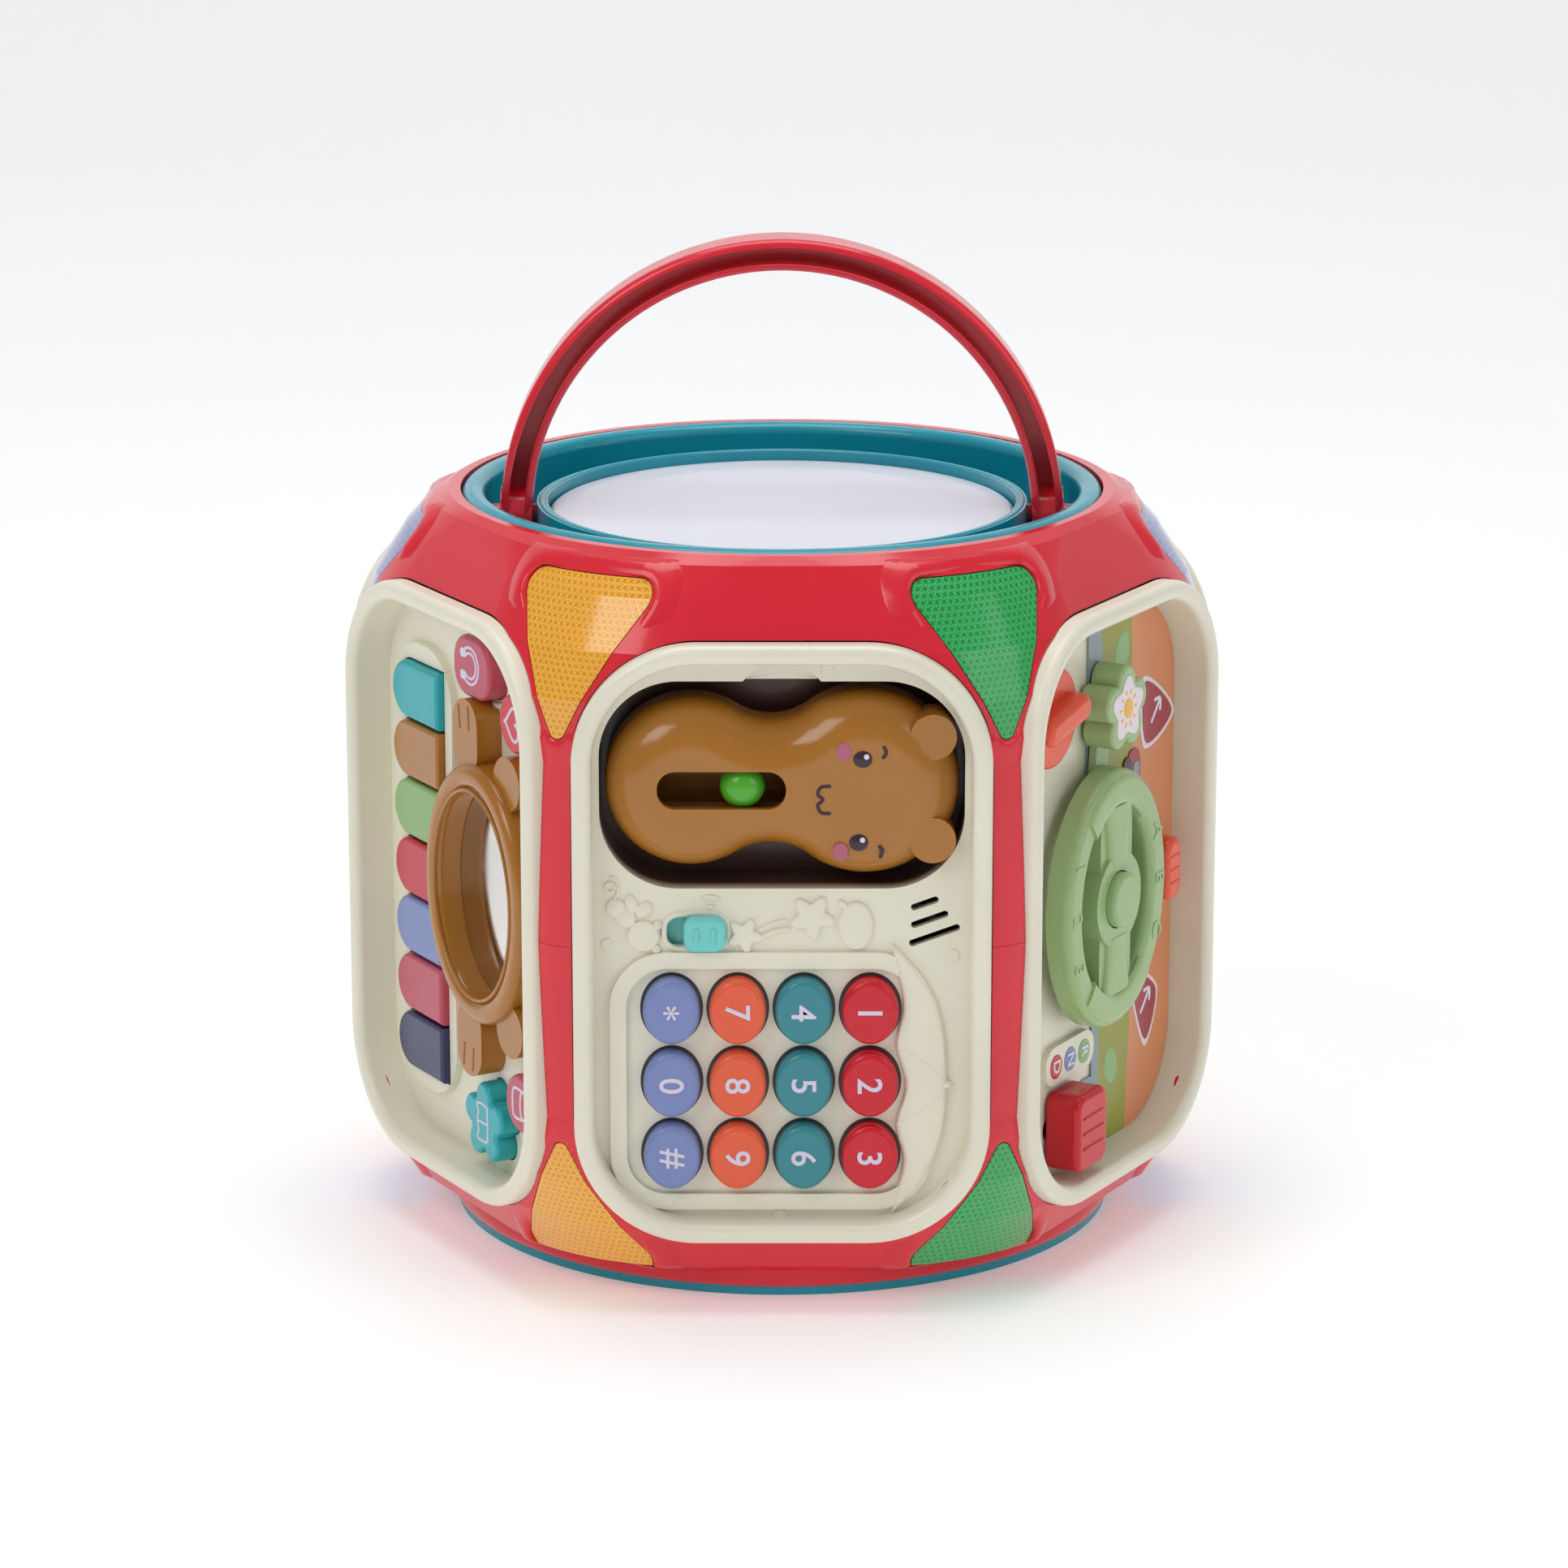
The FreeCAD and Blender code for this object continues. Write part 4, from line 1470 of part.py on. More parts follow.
def write_parts():
    """Write each sub-part to a file that carries its label."""
    os.makedirs("parts", exist_ok=True)
    for item in sub_parts:
        item.Shape.exportStep(os.path.join("parts", item.Label + ".step"))
        box = item.Shape.BoundBox
        print("%-20s solids %d volume %9.1f  x %.1f..%.1f  y %.1f..%.1f  z %.1f..%.1f" % (
            item.Label, len(item.Shape.Solids), item.Shape.Volume, box.XMin, box.XMax,
            box.YMin, box.YMax, box.ZMin, box.ZMax))


fill_sheet()
for make in (make_upper_shell, make_lower_shell, make_lenses, make_top_ring, make_drum_pad,
             make_handle, make_base_cover, make_battery_door, make_case_screws, make_batteries,
             make_phone_panel, make_phone_keys, make_slide_switch, make_sound_and_board,
             make_handset, make_rattle_ball, make_piano_panel, make_piano_keys, make_mode_buttons,
             make_mirror, make_driving_panel, make_scene_card, make_steering_wheel,
             make_horn_button, make_ignition_knob, make_star_lever, make_driving_sliders,
             make_gear_panel, make_play_gears, make_roller_panel, make_roller,
             make_spinner_panel, make_spinner):
    make()
check_objects()
write_parts()
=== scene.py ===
import math

import bmesh
import bpy
import numpy as np
from bpy.props import FloatProperty, FloatVectorProperty, PointerProperty
from bpy.types import Operator, Panel, PropertyGroup
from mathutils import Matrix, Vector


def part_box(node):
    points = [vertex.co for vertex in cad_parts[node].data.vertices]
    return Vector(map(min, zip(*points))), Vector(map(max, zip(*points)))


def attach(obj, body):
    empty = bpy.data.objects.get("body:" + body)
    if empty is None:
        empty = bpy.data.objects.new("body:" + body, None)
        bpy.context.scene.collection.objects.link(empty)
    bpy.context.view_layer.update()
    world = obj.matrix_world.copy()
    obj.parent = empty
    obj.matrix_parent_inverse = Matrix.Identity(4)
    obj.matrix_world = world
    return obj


bl_info = {
    "name": "Activity drum pieces",
    "version": (1, 0, 0),
    "blender": (4, 5, 0),
    "location": "3D View > Sidebar > Drum",
    "description": "Moulded details, prints, finishes and a plain stage for a baby's activity drum",
    "category": "Add Mesh",
}

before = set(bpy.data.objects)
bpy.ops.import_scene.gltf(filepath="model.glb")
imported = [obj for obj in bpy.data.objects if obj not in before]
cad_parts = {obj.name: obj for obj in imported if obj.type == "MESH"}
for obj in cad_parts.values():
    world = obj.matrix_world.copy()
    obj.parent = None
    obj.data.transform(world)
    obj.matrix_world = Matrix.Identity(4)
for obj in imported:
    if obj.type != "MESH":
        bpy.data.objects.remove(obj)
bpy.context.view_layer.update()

MM = 0.001
RIM = -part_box("phone_panel")[0].y
MIDDLE = (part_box("phone_panel")[0].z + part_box("phone_panel")[1].z) / 2
SIDES = {"phone": 0, "driving": 60, "spinner": 120, "gear": 180, "roller": -120, "piano": -60}
CORNERS = {"orange": (-30, 150), "green": (30, -150), "blue": (90, -90)}
KEY_COLUMNS = ("key_blue", "key_orange", "key_teal", "key_red")
KEY_NAMES = (("star", "seven", "four", "one"), ("zero", "eight", "five", "two"),
             ("hash", "nine", "six", "three"))
KEY_GLYPHS = (("*", "7", "4", "1"), ("0", "8", "5", "2"), ("#", "9", "6", "3"))
PIANO_NAMES = ("do", "re", "mi", "fa", "sol", "la", "ti")
PIANO_FINISHES = ("key_teal_bright", "brown", "piano_green", "piano_red", "key_blue", "piano_rose",
                  "piano_navy")
PHONE_FLOOR = -8.0
TRAY_FLOOR = -11.0
SINK = 0.3
TRAY_CORNER = 30.0
BUTTON_TOP = -5.5
MIRROR_FRAME_TOP = -2.35
CARD_TOP = TRAY_FLOOR + 0.6
GEAR_PLATE_TOP = TRAY_FLOOR + 1.6
STAR_TOP = -1.8
STAR_SPOT = (1, 47)
WHEEL_TOP = -0.9
WHEEL_SPOT = (-4, -0.7)
FINISH = {}


def in_mm(value):
    """Metres in millimetres."""
    return value / MM


# ---------------------------------------------------------------- shapes

def place(side, across, up, out):
    """Row-frame points of a tray's millimetres: across, up and out times the tray's own three
    directions, measured from the middle of the tray's rim plane."""
    turn = math.radians(SIDES.get(side, side))
    across, up, out = np.broadcast_arrays(*(np.asarray(v, float) * MM for v in (across, up, out)))
    reach = RIM + out
    return np.stack((across * math.cos(turn) + reach * math.sin(turn),
                     across * math.sin(turn) - reach * math.cos(turn), MIDDLE + up), axis=-1)


def loft(rings, closed=False):
    """Points and triangles of a skin through a stack of loops. Each quad joins two neighbours in
    one loop to the same two in the next; the end loops of an open stack are closed by a fan
    about their mean point. The faces are turned so that the enclosed volume is positive."""
    rows, columns = rings.shape[:2]
    index = np.arange(rows * columns).reshape(rows, columns)
    beside = np.roll(index, -1, axis=1)
    low, high = (index, np.roll(index, -1, axis=0)) if closed else (index[:-1], index[1:])
    low_beside, high_beside = ((beside, np.roll(beside, -1, axis=0)) if closed
                               else (beside[:-1], beside[1:]))
    faces = [np.stack((low, low_beside, high_beside), -1).reshape(-1, 3),
             np.stack((low, high_beside, high), -1).reshape(-1, 3)]
    points = rings.reshape(-1, 3)
    if not closed:
        ends = rings[[0, -1]].mean(axis=1)
        first = np.full(columns, rows * columns)
        faces.append(np.stack((first, beside[0], index[0]), -1))
        faces.append(np.stack((first + 1, index[-1], beside[-1]), -1))
        points = np.vstack((points, ends))
    faces = np.vstack(faces)
    corners = (points - points.mean(axis=0))[faces]
    volume = np.einsum("ij,ij->i", corners[:, 0], np.cross(corners[:, 1], corners[:, 2])).sum()
    return points, faces if volume > 0 else faces[:, ::-1]


def outward(outline):
    """Unit normals of a closed outline: its tangent, from the points before and after, turned a
    quarter turn away from the outline's middle."""
    along = np.roll(outline, -1, axis=0) - np.roll(outline, 1, axis=0)
    along /= np.linalg.norm(along, axis=1, keepdims=True) + 1e-12
    normal = np.stack((along[:, 1], -along[:, 0]), -1)
    area = (outline[:, 0] * np.roll(outline[:, 1], -1)
            - outline[:, 1] * np.roll(outline[:, 0], -1)).sum()
    return normal * (1 if area > 0 else -1)


def plate(side, outline, base, top, edge, crown=0.0):
    """A raised plate. The outline goes straight up from the base, is drawn in along its normals
    by a quarter circle of the edge's radius, and then shrinks to its middle while it rises by
    the crown times one less the square of its size."""
    normal = outward(outline)
    swing = np.linspace(0, math.pi / 2, 6)
    inset = np.concatenate(([0.0], edge * (1 - np.cos(swing))))
    height = np.concatenate(([base], top - edge + edge * np.sin(swing)))
    rings = outline[None] - normal[None] * inset[:, None, None]
    share = np.array((0.8, 0.55, 0.28, 0.08))
    middle = rings[-1].mean(axis=0)
    inner = middle + (rings[-1] - middle)[None] * share[:, None, None]
    rings = np.concatenate((rings, inner))
    height = np.concatenate((height, top + crown * (1 - share ** 2)))
    return loft(place(side, rings[..., 0], rings[..., 1], height[:, None]))


def raised(side, outline, rise, edge, crown=0.0):
    """A plate on a tray's floor, with its foot sunk a little under it."""
    floor = PHONE_FLOOR if side == "phone" else TRAY_FLOOR
    return plate(side, outline, floor - SINK, floor + rise, edge, crown)


def curve_through(points, count, closed=False):
    """Points of a smooth curve through the given ones: between two of them the usual cubic whose
    slopes are half the step from the point before to the point after."""
    points = np.asarray(points, float)
    total = len(points)
    spans = total if closed else total - 1
    if closed:
        spread = np.arange(count) / count * spans
    else:
        spread = (0.5 - 0.5 * np.cos(np.linspace(0, math.pi, count))) * spans
    start = np.minimum(spread.astype(int), spans - 1)
    step = (spread - start)[:, None]
    if closed:
        before, first, second, after = (points[(start + k) % total] for k in (-1, 0, 1, 2))
    else:
        before, first, second, after = (points[np.clip(start + k, 0, total - 1)]
                                        for k in (-1, 0, 1, 2))
    return 0.5 * (2 * first + (second - before) * step
                  + (2 * before - 5 * first + 4 * second - after) * step ** 2
                  + (3 * first - before - 3 * second + after) * step ** 3)


def bead(side, points, width, base, rise, closed=False, count=56):
    """A bead along a curve. At each point stands a half oval, half the width to each side and
    the rise high, on a foot sunk under the base; near an open end its size follows a quarter
    circle of the half width, so the end is round."""
    path = curve_through(points, count, closed)
    if closed:
        along = np.roll(path, -1, axis=0) - np.roll(path, 1, axis=0)
        size = np.ones(count)
    else:
        along = np.gradient(path, axis=0)
        steps = np.linalg.norm(np.diff(path, axis=0), axis=1)
        run = np.concatenate(([0], np.cumsum(steps)))
        left = np.minimum(run, run[-1] - run) / (width / 2)
        size = np.sqrt(np.clip(1 - (1 - np.minimum(left, 1)) ** 2, 0.02, 1))
    along /= np.linalg.norm(along, axis=1, keepdims=True) + 1e-12
    beside = np.stack((along[:, 1], -along[:, 0]), -1)
    swing = np.linspace(0, math.pi, 9)
    lateral = np.concatenate((np.cos(swing), (-1, 1))) * width / 2
    height = np.concatenate((np.sin(swing) * rise, (-SINK, -SINK)))
    spread = path[:, None] + beside[:, None] * (lateral[None] * size[:, None])[..., None]
    level = base + height[None] * size[:, None]
    return loft(place(side, spread[..., 0], spread[..., 1], level), closed)


def ribbon(side, inner, outer, base, rise, edge):
    """A raised ribbon between two curves. Across it the height follows a quarter circle of the
    edge's radius from each border to a flat top, above a flat foot sunk under the base."""
    share = np.array((0, 0.02, 0.06, 0.14, 0.3, 0.5, 0.7, 0.86, 0.94, 0.98, 1))
    gap = np.linalg.norm(outer - inner, axis=1)[:, None]
    near = np.minimum(share, 1 - share)[None] * gap / edge
    height = rise * np.sqrt(np.clip(1 - (1 - np.minimum(near, 1)) ** 2, 0, 1))
    across = inner[:, None] + (outer - inner)[:, None] * share[None, :, None]
    across = np.concatenate((across, outer[:, None], inner[:, None]), axis=1)
    foot = np.full((len(inner), 2), -SINK)
    height = np.concatenate((height, foot), axis=1)
    return loft(place(side, across[..., 0], across[..., 1], base + height))


def oval(across, up, wide, high, power=2.0, turn=0.0, count=56):
    """A closed outline: a superellipse of that width and height, turned by degrees."""
    swing = np.arange(count) / count * 2 * math.pi
    first = np.sign(np.cos(swing)) * np.abs(np.cos(swing)) ** (2 / power) * wide / 2
    second = np.sign(np.sin(swing)) * np.abs(np.sin(swing)) ** (2 / power) * high / 2
    lean = math.radians(turn)
    return np.stack((across + first * math.cos(lean) - second * math.sin(lean),
                     up + first * math.sin(lean) + second * math.cos(lean)), -1)


def star_outline(across, up, reach, depth, points=5, turn=90.0, count=100):
    """A soft star: a circle whose radius swings by the depth as often as the star has points."""
    swing = np.arange(count) / count * 2 * math.pi
    radius = reach - depth + depth * np.cos(points * (swing - math.radians(turn)))
    return np.stack((across + radius * np.cos(swing), up + radius * np.sin(swing)), -1)


def glyph(side, text, size, across, up, base, thick, turn=-90.0):
    """A raised character: its outline is filled, given its thickness, welded and moved into
    place on the tray by arrays."""
    curve = bpy.data.curves.new("character", "FONT")
    curve.body = text
    curve.extrude = 0.5
    curve.offset = 0.012
    curve.resolution_u = 4
    holder = bpy.data.objects.new("character", curve)
    mesh = bpy.data.meshes.new_from_object(holder)
    bpy.data.objects.remove(holder)
    bpy.data.curves.remove(curve)
    shape = bmesh.new()
    shape.from_mesh(mesh)
    bmesh.ops.remove_doubles(shape, verts=shape.verts, dist=0.0001)
    bmesh.ops.triangulate(shape, faces=shape.faces)
    shape.to_mesh(mesh)
    shape.free()
    points = np.zeros(len(mesh.vertices) * 3)
    mesh.vertices.foreach_get("co", points)
    points = points.reshape(-1, 3)
    faces = np.zeros(len(mesh.polygons) * 3, int)
    mesh.polygons.foreach_get("vertices", faces)
    bpy.data.meshes.remove(mesh)
    flat = points[:, :2] - (points[:, :2].max(axis=0) + points[:, :2].min(axis=0)) / 2
    flat *= size
    lean = math.radians(turn)
    level = base + np.where(points[:, 2] > 0, thick, -SINK)
    return (place(side, across + flat[:, 0] * math.cos(lean) - flat[:, 1] * math.sin(lean),
                  up + flat[:, 0] * math.sin(lean) + flat[:, 1] * math.cos(lean), level),
            faces.reshape(-1, 3))


def part_middle(name):
    """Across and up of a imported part's middle on the telephone tray."""
    low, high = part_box(name)
    return in_mm(low.x + high.x) / 2, in_mm((low.z + high.z) / 2 - MIDDLE)


def add_piece(name, skins, body="drum_body", finish="cream"):
    """One object from several closed skins, joined as arrays, with its finish as material."""
    points, faces, offset = [], [], 0
    for skin_points, skin_faces in skins:
        points.append(skin_points)
        faces.append(skin_faces + offset)
        offset += len(skin_points)
    mesh = bpy.data.meshes.new(name)
    mesh.from_pydata(np.vstack(points).tolist(), [], np.vstack(faces).tolist())
    mesh.shade_smooth()
    mesh.set_sharp_from_angle(angle=math.radians(40))
    mesh.materials.append(FINISH[finish])
    piece = bpy.data.objects.new(name, mesh)
    bpy.context.scene.collection.objects.link(piece)
    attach(piece, body)


# ---------------------------------------------------------------- finishes

def tint(code):
    """Linear red, green and blue of a six-digit colour code."""
    parts = np.array([int(code[k:k + 2], 16) for k in (0, 2, 4)]) / 255
    return tuple(np.where(parts <= 0.04045, parts / 12.92, ((parts + 0.055) / 1.055) ** 2.4))


def start_finish(name):
    """A new material's node tree, its shader and its Object coordinates."""
    material = bpy.data.materials.new(name)
    material.use_nodes = True
    tree = material.node_tree
    tree.nodes.clear()
    shader = tree.nodes.new("ShaderNodeBsdfPrincipled")
    output = tree.nodes.new("ShaderNodeOutputMaterial")
    tree.links.new(shader.outputs[0], output.inputs["Surface"])
    coordinates = tree.nodes.new("ShaderNodeTexCoord").outputs["Object"]
    FINISH[name] = material
    return tree, shader, coordinates


def wire(tree, socket, value):
    """Links a socket to another one, or sets its value."""
    if hasattr(value, "is_linked"):
        tree.links.new(value, socket)
    else:
        socket.default_value = value


def add_node(tree, kind, wires, **settings):
    """A node with those settings, and with its inputs linked or set."""
    node = tree.nodes.new("ShaderNode" + kind)
    for name, value in settings.items():
        setattr(node, name, value)
    for key, value in wires.items():
        wire(tree, node.inputs[key], value)
    return node


def add_noise(tree, coordinates, scale, detail):
    """Noise over the piece, its scale in waves a metre."""
    return add_node(tree, "TexNoise", {"Vector": coordinates, "Scale": scale,
                                       "Detail": detail}).outputs["Fac"]


def add_range(tree, value, low, high, from_low=0.3, from_high=0.7):
    """A value stretched between two limits."""
    return add_node(tree, "MapRange", {"Value": value, "From Min": from_low, "From Max": from_high,
                                       "To Min": low, "To Max": high}).outputs["Result"]


def add_mix(tree, share, first, second):
    """Two colours, or two colour sockets, mixed by a share."""
    first, second = (value if hasattr(value, "is_linked") else (*value, 1)
                     for value in (first, second))
    return add_node(tree, "Mix", {"Factor": share, 6: first, 7: second},
                    data_type="RGBA").outputs[2]


def turned_axes(tree, coordinates, azimuth):
    """Object coordinates turned so that X runs across the side at that azimuth."""
    turn = add_node(tree, "Mapping", {"Vector": coordinates,
                                      "Rotation": (0, 0, -math.radians(azimuth))})
    return add_node(tree, "SeparateXYZ", {0: turn.outputs[0]}).outputs


def add_surface(tree, shader, coordinates, roughness, coat, grain):
    """Roughness that wanders a little, a clear gloss, and a fine moulded grain."""
    cloud = add_noise(tree, coordinates, 60, 3)
    bump = add_node(tree, "Bump", {"Strength": grain, "Distance": 0.0002,
                                   "Height": add_noise(tree, coordinates, 1400, 4)})
    for name, value in (("Coat Weight", coat), ("Specular IOR Level", 0.4),
                        ("Coat Roughness", 0.12), ("Normal", bump.outputs[0]),
                        ("Roughness", add_range(tree, cloud, roughness - 0.04,
                                                roughness + 0.06))):
        wire(tree, shader.inputs[name], value)
    return bump


def make_plastic(name, colour, roughness=0.3, coat=0.35, grain=0.06, swing=0.035):
    """Moulded plastic: its colour drifts between a shade darker and a shade lighter."""
    tree, shader, coordinates = start_finish(name)
    drift = add_range(tree, add_noise(tree, coordinates, 22, 2), 0, 1)
    dark = tuple(part * (1 - swing) for part in colour)
    light = tuple(min(1, part * (1 + swing)) for part in colour)
    wire(tree, shader.inputs["Base Color"], add_mix(tree, drift, dark, light))
    add_surface(tree, shader, coordinates, roughness, coat, grain)
    return tree, shader, coordinates


def make_phone_tray(name, colour, shadow, start=0.0084, end=0.0135):
    """Cream plastic with painted shade: it turns to a dark brown between two depths of the
    handset's cradle, standing in for the shadow deep in the cradle.
    """
    tree, shader, coordinates = make_plastic(name, colour)
    parts = add_node(tree, "SeparateXYZ", {0: coordinates}).outputs
    # Painted shade: the share of the dark brown rises from nothing at the first depth into the
    # cradle to all of it at the second.
    deep = add_range(tree, parts["Y"], 0, 1, -RIM + start, -RIM + end)
    old = shader.inputs["Base Color"].links[0].from_socket
    wire(tree, shader.inputs["Base Color"], add_mix(tree, deep, old, shadow))


def make_lens(name, deep, bright, azimuth, pitch):
    """Clear coloured plastic over a honeycomb of rings. The height and the width across the
    corner are wrapped into two offset grids of cells, and the smaller of the two distances from
    a cell's middle gives the rings."""
    tree, shader, coordinates = start_finish(name)
    parts = turned_axes(tree, coordinates, azimuth)
    flat = add_node(tree, "CombineXYZ", {"X": parts["X"], "Y": parts["Z"]}).outputs[0]
    half = (pitch * MM / 2, pitch * MM * math.sqrt(3) / 2, 0.5)
    distances = []
    for shift in ((0, 0, 0), (half[0], half[1], 0)):
        move = add_node(tree, "VectorMath", {0: flat, 1: shift}, operation="ADD")
        wrap = add_node(tree, "VectorMath", {0: move.outputs[0], 1: half,
                                             2: tuple(-part for part in half)}, operation="WRAP")
        length = add_node(tree, "VectorMath", {0: wrap.outputs[0]}, operation="LENGTH")
        distances.append(length.outputs["Value"])
    nearest = add_node(tree, "Math", dict(enumerate(distances)), operation="MINIMUM")
    farthest = pitch * MM * 0.577
    ramp = add_node(tree, "ValToRGB", {0: add_range(tree, nearest.outputs[0], 0, 1, 0, farthest)})
    stops = ramp.color_ramp.elements
    middle = tuple(0.55 * d + 0.45 * b for d, b in zip(deep, bright))
    stops[0].position, stops[0].color = 0.0, (*middle, 1)
    stops[1].position, stops[1].color = 1.0, (*deep, 1)
    for spot, colour in ((0.42, deep), (0.58, bright), (0.8, bright), (0.92, deep)):
        stops.new(spot).color = (*colour, 1)
    cloud = add_range(tree, add_noise(tree, coordinates, 90, 3), 0, 0.25)
    wire(tree, shader.inputs["Base Color"], add_mix(tree, cloud, ramp.outputs[0], middle))
    bump = add_surface(tree, shader, coordinates, 0.14, 0.8, 0.02)
    cells = add_node(tree, "Bump", {"Strength": 0.5, "Distance": 0.0003,
                                    "Height": ramp.outputs[0]})
    wire(tree, bump.inputs["Normal"], cells.outputs[0])


def make_card(name, road, grass, sky):
    """A printed card: three bands across it, with a border that wanders a little."""
    tree, shader, coordinates = start_finish(name)
    parts = turned_axes(tree, coordinates, SIDES["driving"])
    wave = add_range(tree, add_noise(tree, coordinates, 26, 1), -0.002, 0.002)
    spot = add_node(tree, "Math", {0: parts["X"], 1: wave}).outputs[0]
    grassy, skyward = (add_range(tree, spot, 0, 1, start, start + 0.0003)
                       for start in (0.0038, 0.0208))
    patches = add_range(tree, add_noise(tree, coordinates, 150, 3), 0, 0.35)
    meadow = add_mix(tree, patches, grass, tuple(part * 0.7 for part in grass))
    ground = add_mix(tree, grassy, road, meadow)
    wire(tree, shader.inputs["Base Color"], add_mix(tree, skyward, ground, sky))
    add_surface(tree, shader, coordinates, 0.35, 0.2, 0.02)


def make_mirror(name):
    """Plastic mirror: bright metal with a faint ripple."""
    tree, shader, coordinates = start_finish(name)
    shader.inputs["Metallic"].default_value = 1
    drift = add_range(tree, add_noise(tree, coordinates, 40, 2), 0, 1)
    wire(tree, shader.inputs["Base Color"],
         add_mix(tree, drift, (0.62, 0.6, 0.58), (0.72, 0.7, 0.68)))
    add_surface(tree, shader, coordinates, 0.08, 0.3, 0.015)


def shade(label, words, code):
    """A colour setting."""
    return FloatVectorProperty(name=label, description=words, subtype="COLOR", size=3, min=0, max=1,
                               default=tint(code))


def span(label, words, value):
    """A size setting, in metres."""
    return FloatProperty(name=label, description=words, subtype="DISTANCE", unit="LENGTH",
                         default=value * MM, min=0)


class DrumColours(PropertyGroup):
    """Colours of the plastics and prints, and of the painted shade in the handset's cradle and
    round the phone keys.
    """
    red: shade("Shell", "Upper and lower shell and the handle", "E02233")
    teal: shade("Ring", "Top ring, base and battery door", "129AAD")
    cream: shade("Trays", "Six trays and their raised marks", "ECE8D4")
    white: shade("Pad", "Drum pad and white marks", "E4E7F3")
    brown: shade("Bear", "Handset and mirror frame", "AD7124")
    # Painted shade: this dark brown is mixed into the cream deep in the handset's cradle in place
    # of the shadow there.
    shadow: shade("Cradle", "Bottom of the handset's cradle", "55342A")
    ink: shade("Ink", "Eyes and mouth", "3A2430")
    cheek: shade("Cheek", "Cheeks and inner ears", "B8607A")
    orange_deep: shade("Orange window, deep", "Dark part of the orange windows", "D97F08")
    orange_bright: shade("Orange window, bright", "Rings of the orange windows", "FFC13A")
    green_deep: shade("Green window, deep", "Dark part of the green windows", "04702C")
    green_bright: shade("Green window, bright", "Rings of the green windows", "2FC164")
    blue_deep: shade("Blue window, deep", "Dark part of the blue windows", "3B4A91")
    blue_bright: shade("Blue window, bright", "Rings of the blue windows", "8190D2")
    key_blue: shade("Blue keys", "Column of three phone keys and a piano key", "7C8BC0")
    key_orange: shade("Orange keys", "Column of three phone keys", "EA5F3A")
    key_teal: shade("Teal keys", "Column of three phone keys", "358993")
    key_red: shade("Red keys", "Column of three phone keys and the heart button", "D01527")
    key_teal_bright: shade("First piano key", "Turquoise piano key and star button", "1FAEB6")
    piano_green: shade("Green piano key", "Third piano key", "8BB672")
    piano_red: shade("Red piano key", "Fourth piano key", "C8283A")
    piano_rose: shade("Rose piano key", "Sixth piano key, song and drum buttons", "C14A60")
    piano_navy: shade("Navy piano key", "Seventh piano key", "33385E")
    mint: shade("Switch", "Volume slide", "76D6D0")
    leaf: shade("Wheel", "Steering wheel and star lever", "A0BC82")
    ball: shade("Ball", "Rattle ball", "4FB02E")
    coral: shade("Knobs", "Ignition knob and signal slider", "EC5A3A")
    amber: shade("Roller", "Roller", "F08A2C")
    yellow: shade("Large gear", "Large gear and the sun", "F2BC33")
    sticker: shade("Sticker", "Pale stickers", "EADFE4")
    legend: shade("Legends", "Numbers on the keys", "DCD2E8")
    badge: shade("Badges", "Road signs on the card", "A83A4A")
    road: shade("Road", "Road on the card", "8CA0A6")
    grass: shade("Grass", "Grass on the card", "9C9F33")
    sky: shade("Sky", "Evening sky on the card", "DB8D61")
    board: shade("Board", "Circuit board", "1C5A3A")
    steel: shade("Steel", "Screws", "9A9CA0")
    # Dark plastic of the loudspeaker and cells; on the key wells the same colour is painted shade
    # in the gaps round the keys.
    dark: shade("Dark", "Loudspeaker, cells and key gaps", "26262B")


class DrumSizes(PropertyGroup):
    """Sizes of the raised details."""
    mark_rise: span("Rise", "Height of a raised mark over its floor", 1.0)
    canopy_rise: span("Canopy", "Height of the umbrella over the floor", 1.75)
    legend_size: span("Legend", "Height of a phone key's number", 8.4)
    print_rise: span("Print", "Thickness of a printed mark", 0.18)
    pod_width: span("Surround", "Width of the raised surround round a corner window", 7.0)
    pod_rise: span("Surround's rise", "Height of that surround over the shell", 1.5)
    lens_pitch: span("Honeycomb", "Distance between two rings in a window", 1.7)


class DrumStage(PropertyGroup):
    """Camera and light."""
    distance: span("Distance", "Camera in front of the drum's axis", 1400.9)
    height: span("Height", "Camera above the floor", 483.6)
    tilt: FloatProperty(name="Tilt", description="Camera's tilt from straight down",
                        subtype="ANGLE", unit="ROTATION", default=math.radians(75))
    lens: FloatProperty(name="Lens", description="Focal length", subtype="DISTANCE_CAMERA",
                        unit="CAMERA", default=129.6)
    brightness: FloatProperty(name="Brightness", description="Strength of the soft lights",
                              default=1.0, min=0)


# ---------------------------------------------------------------- pieces

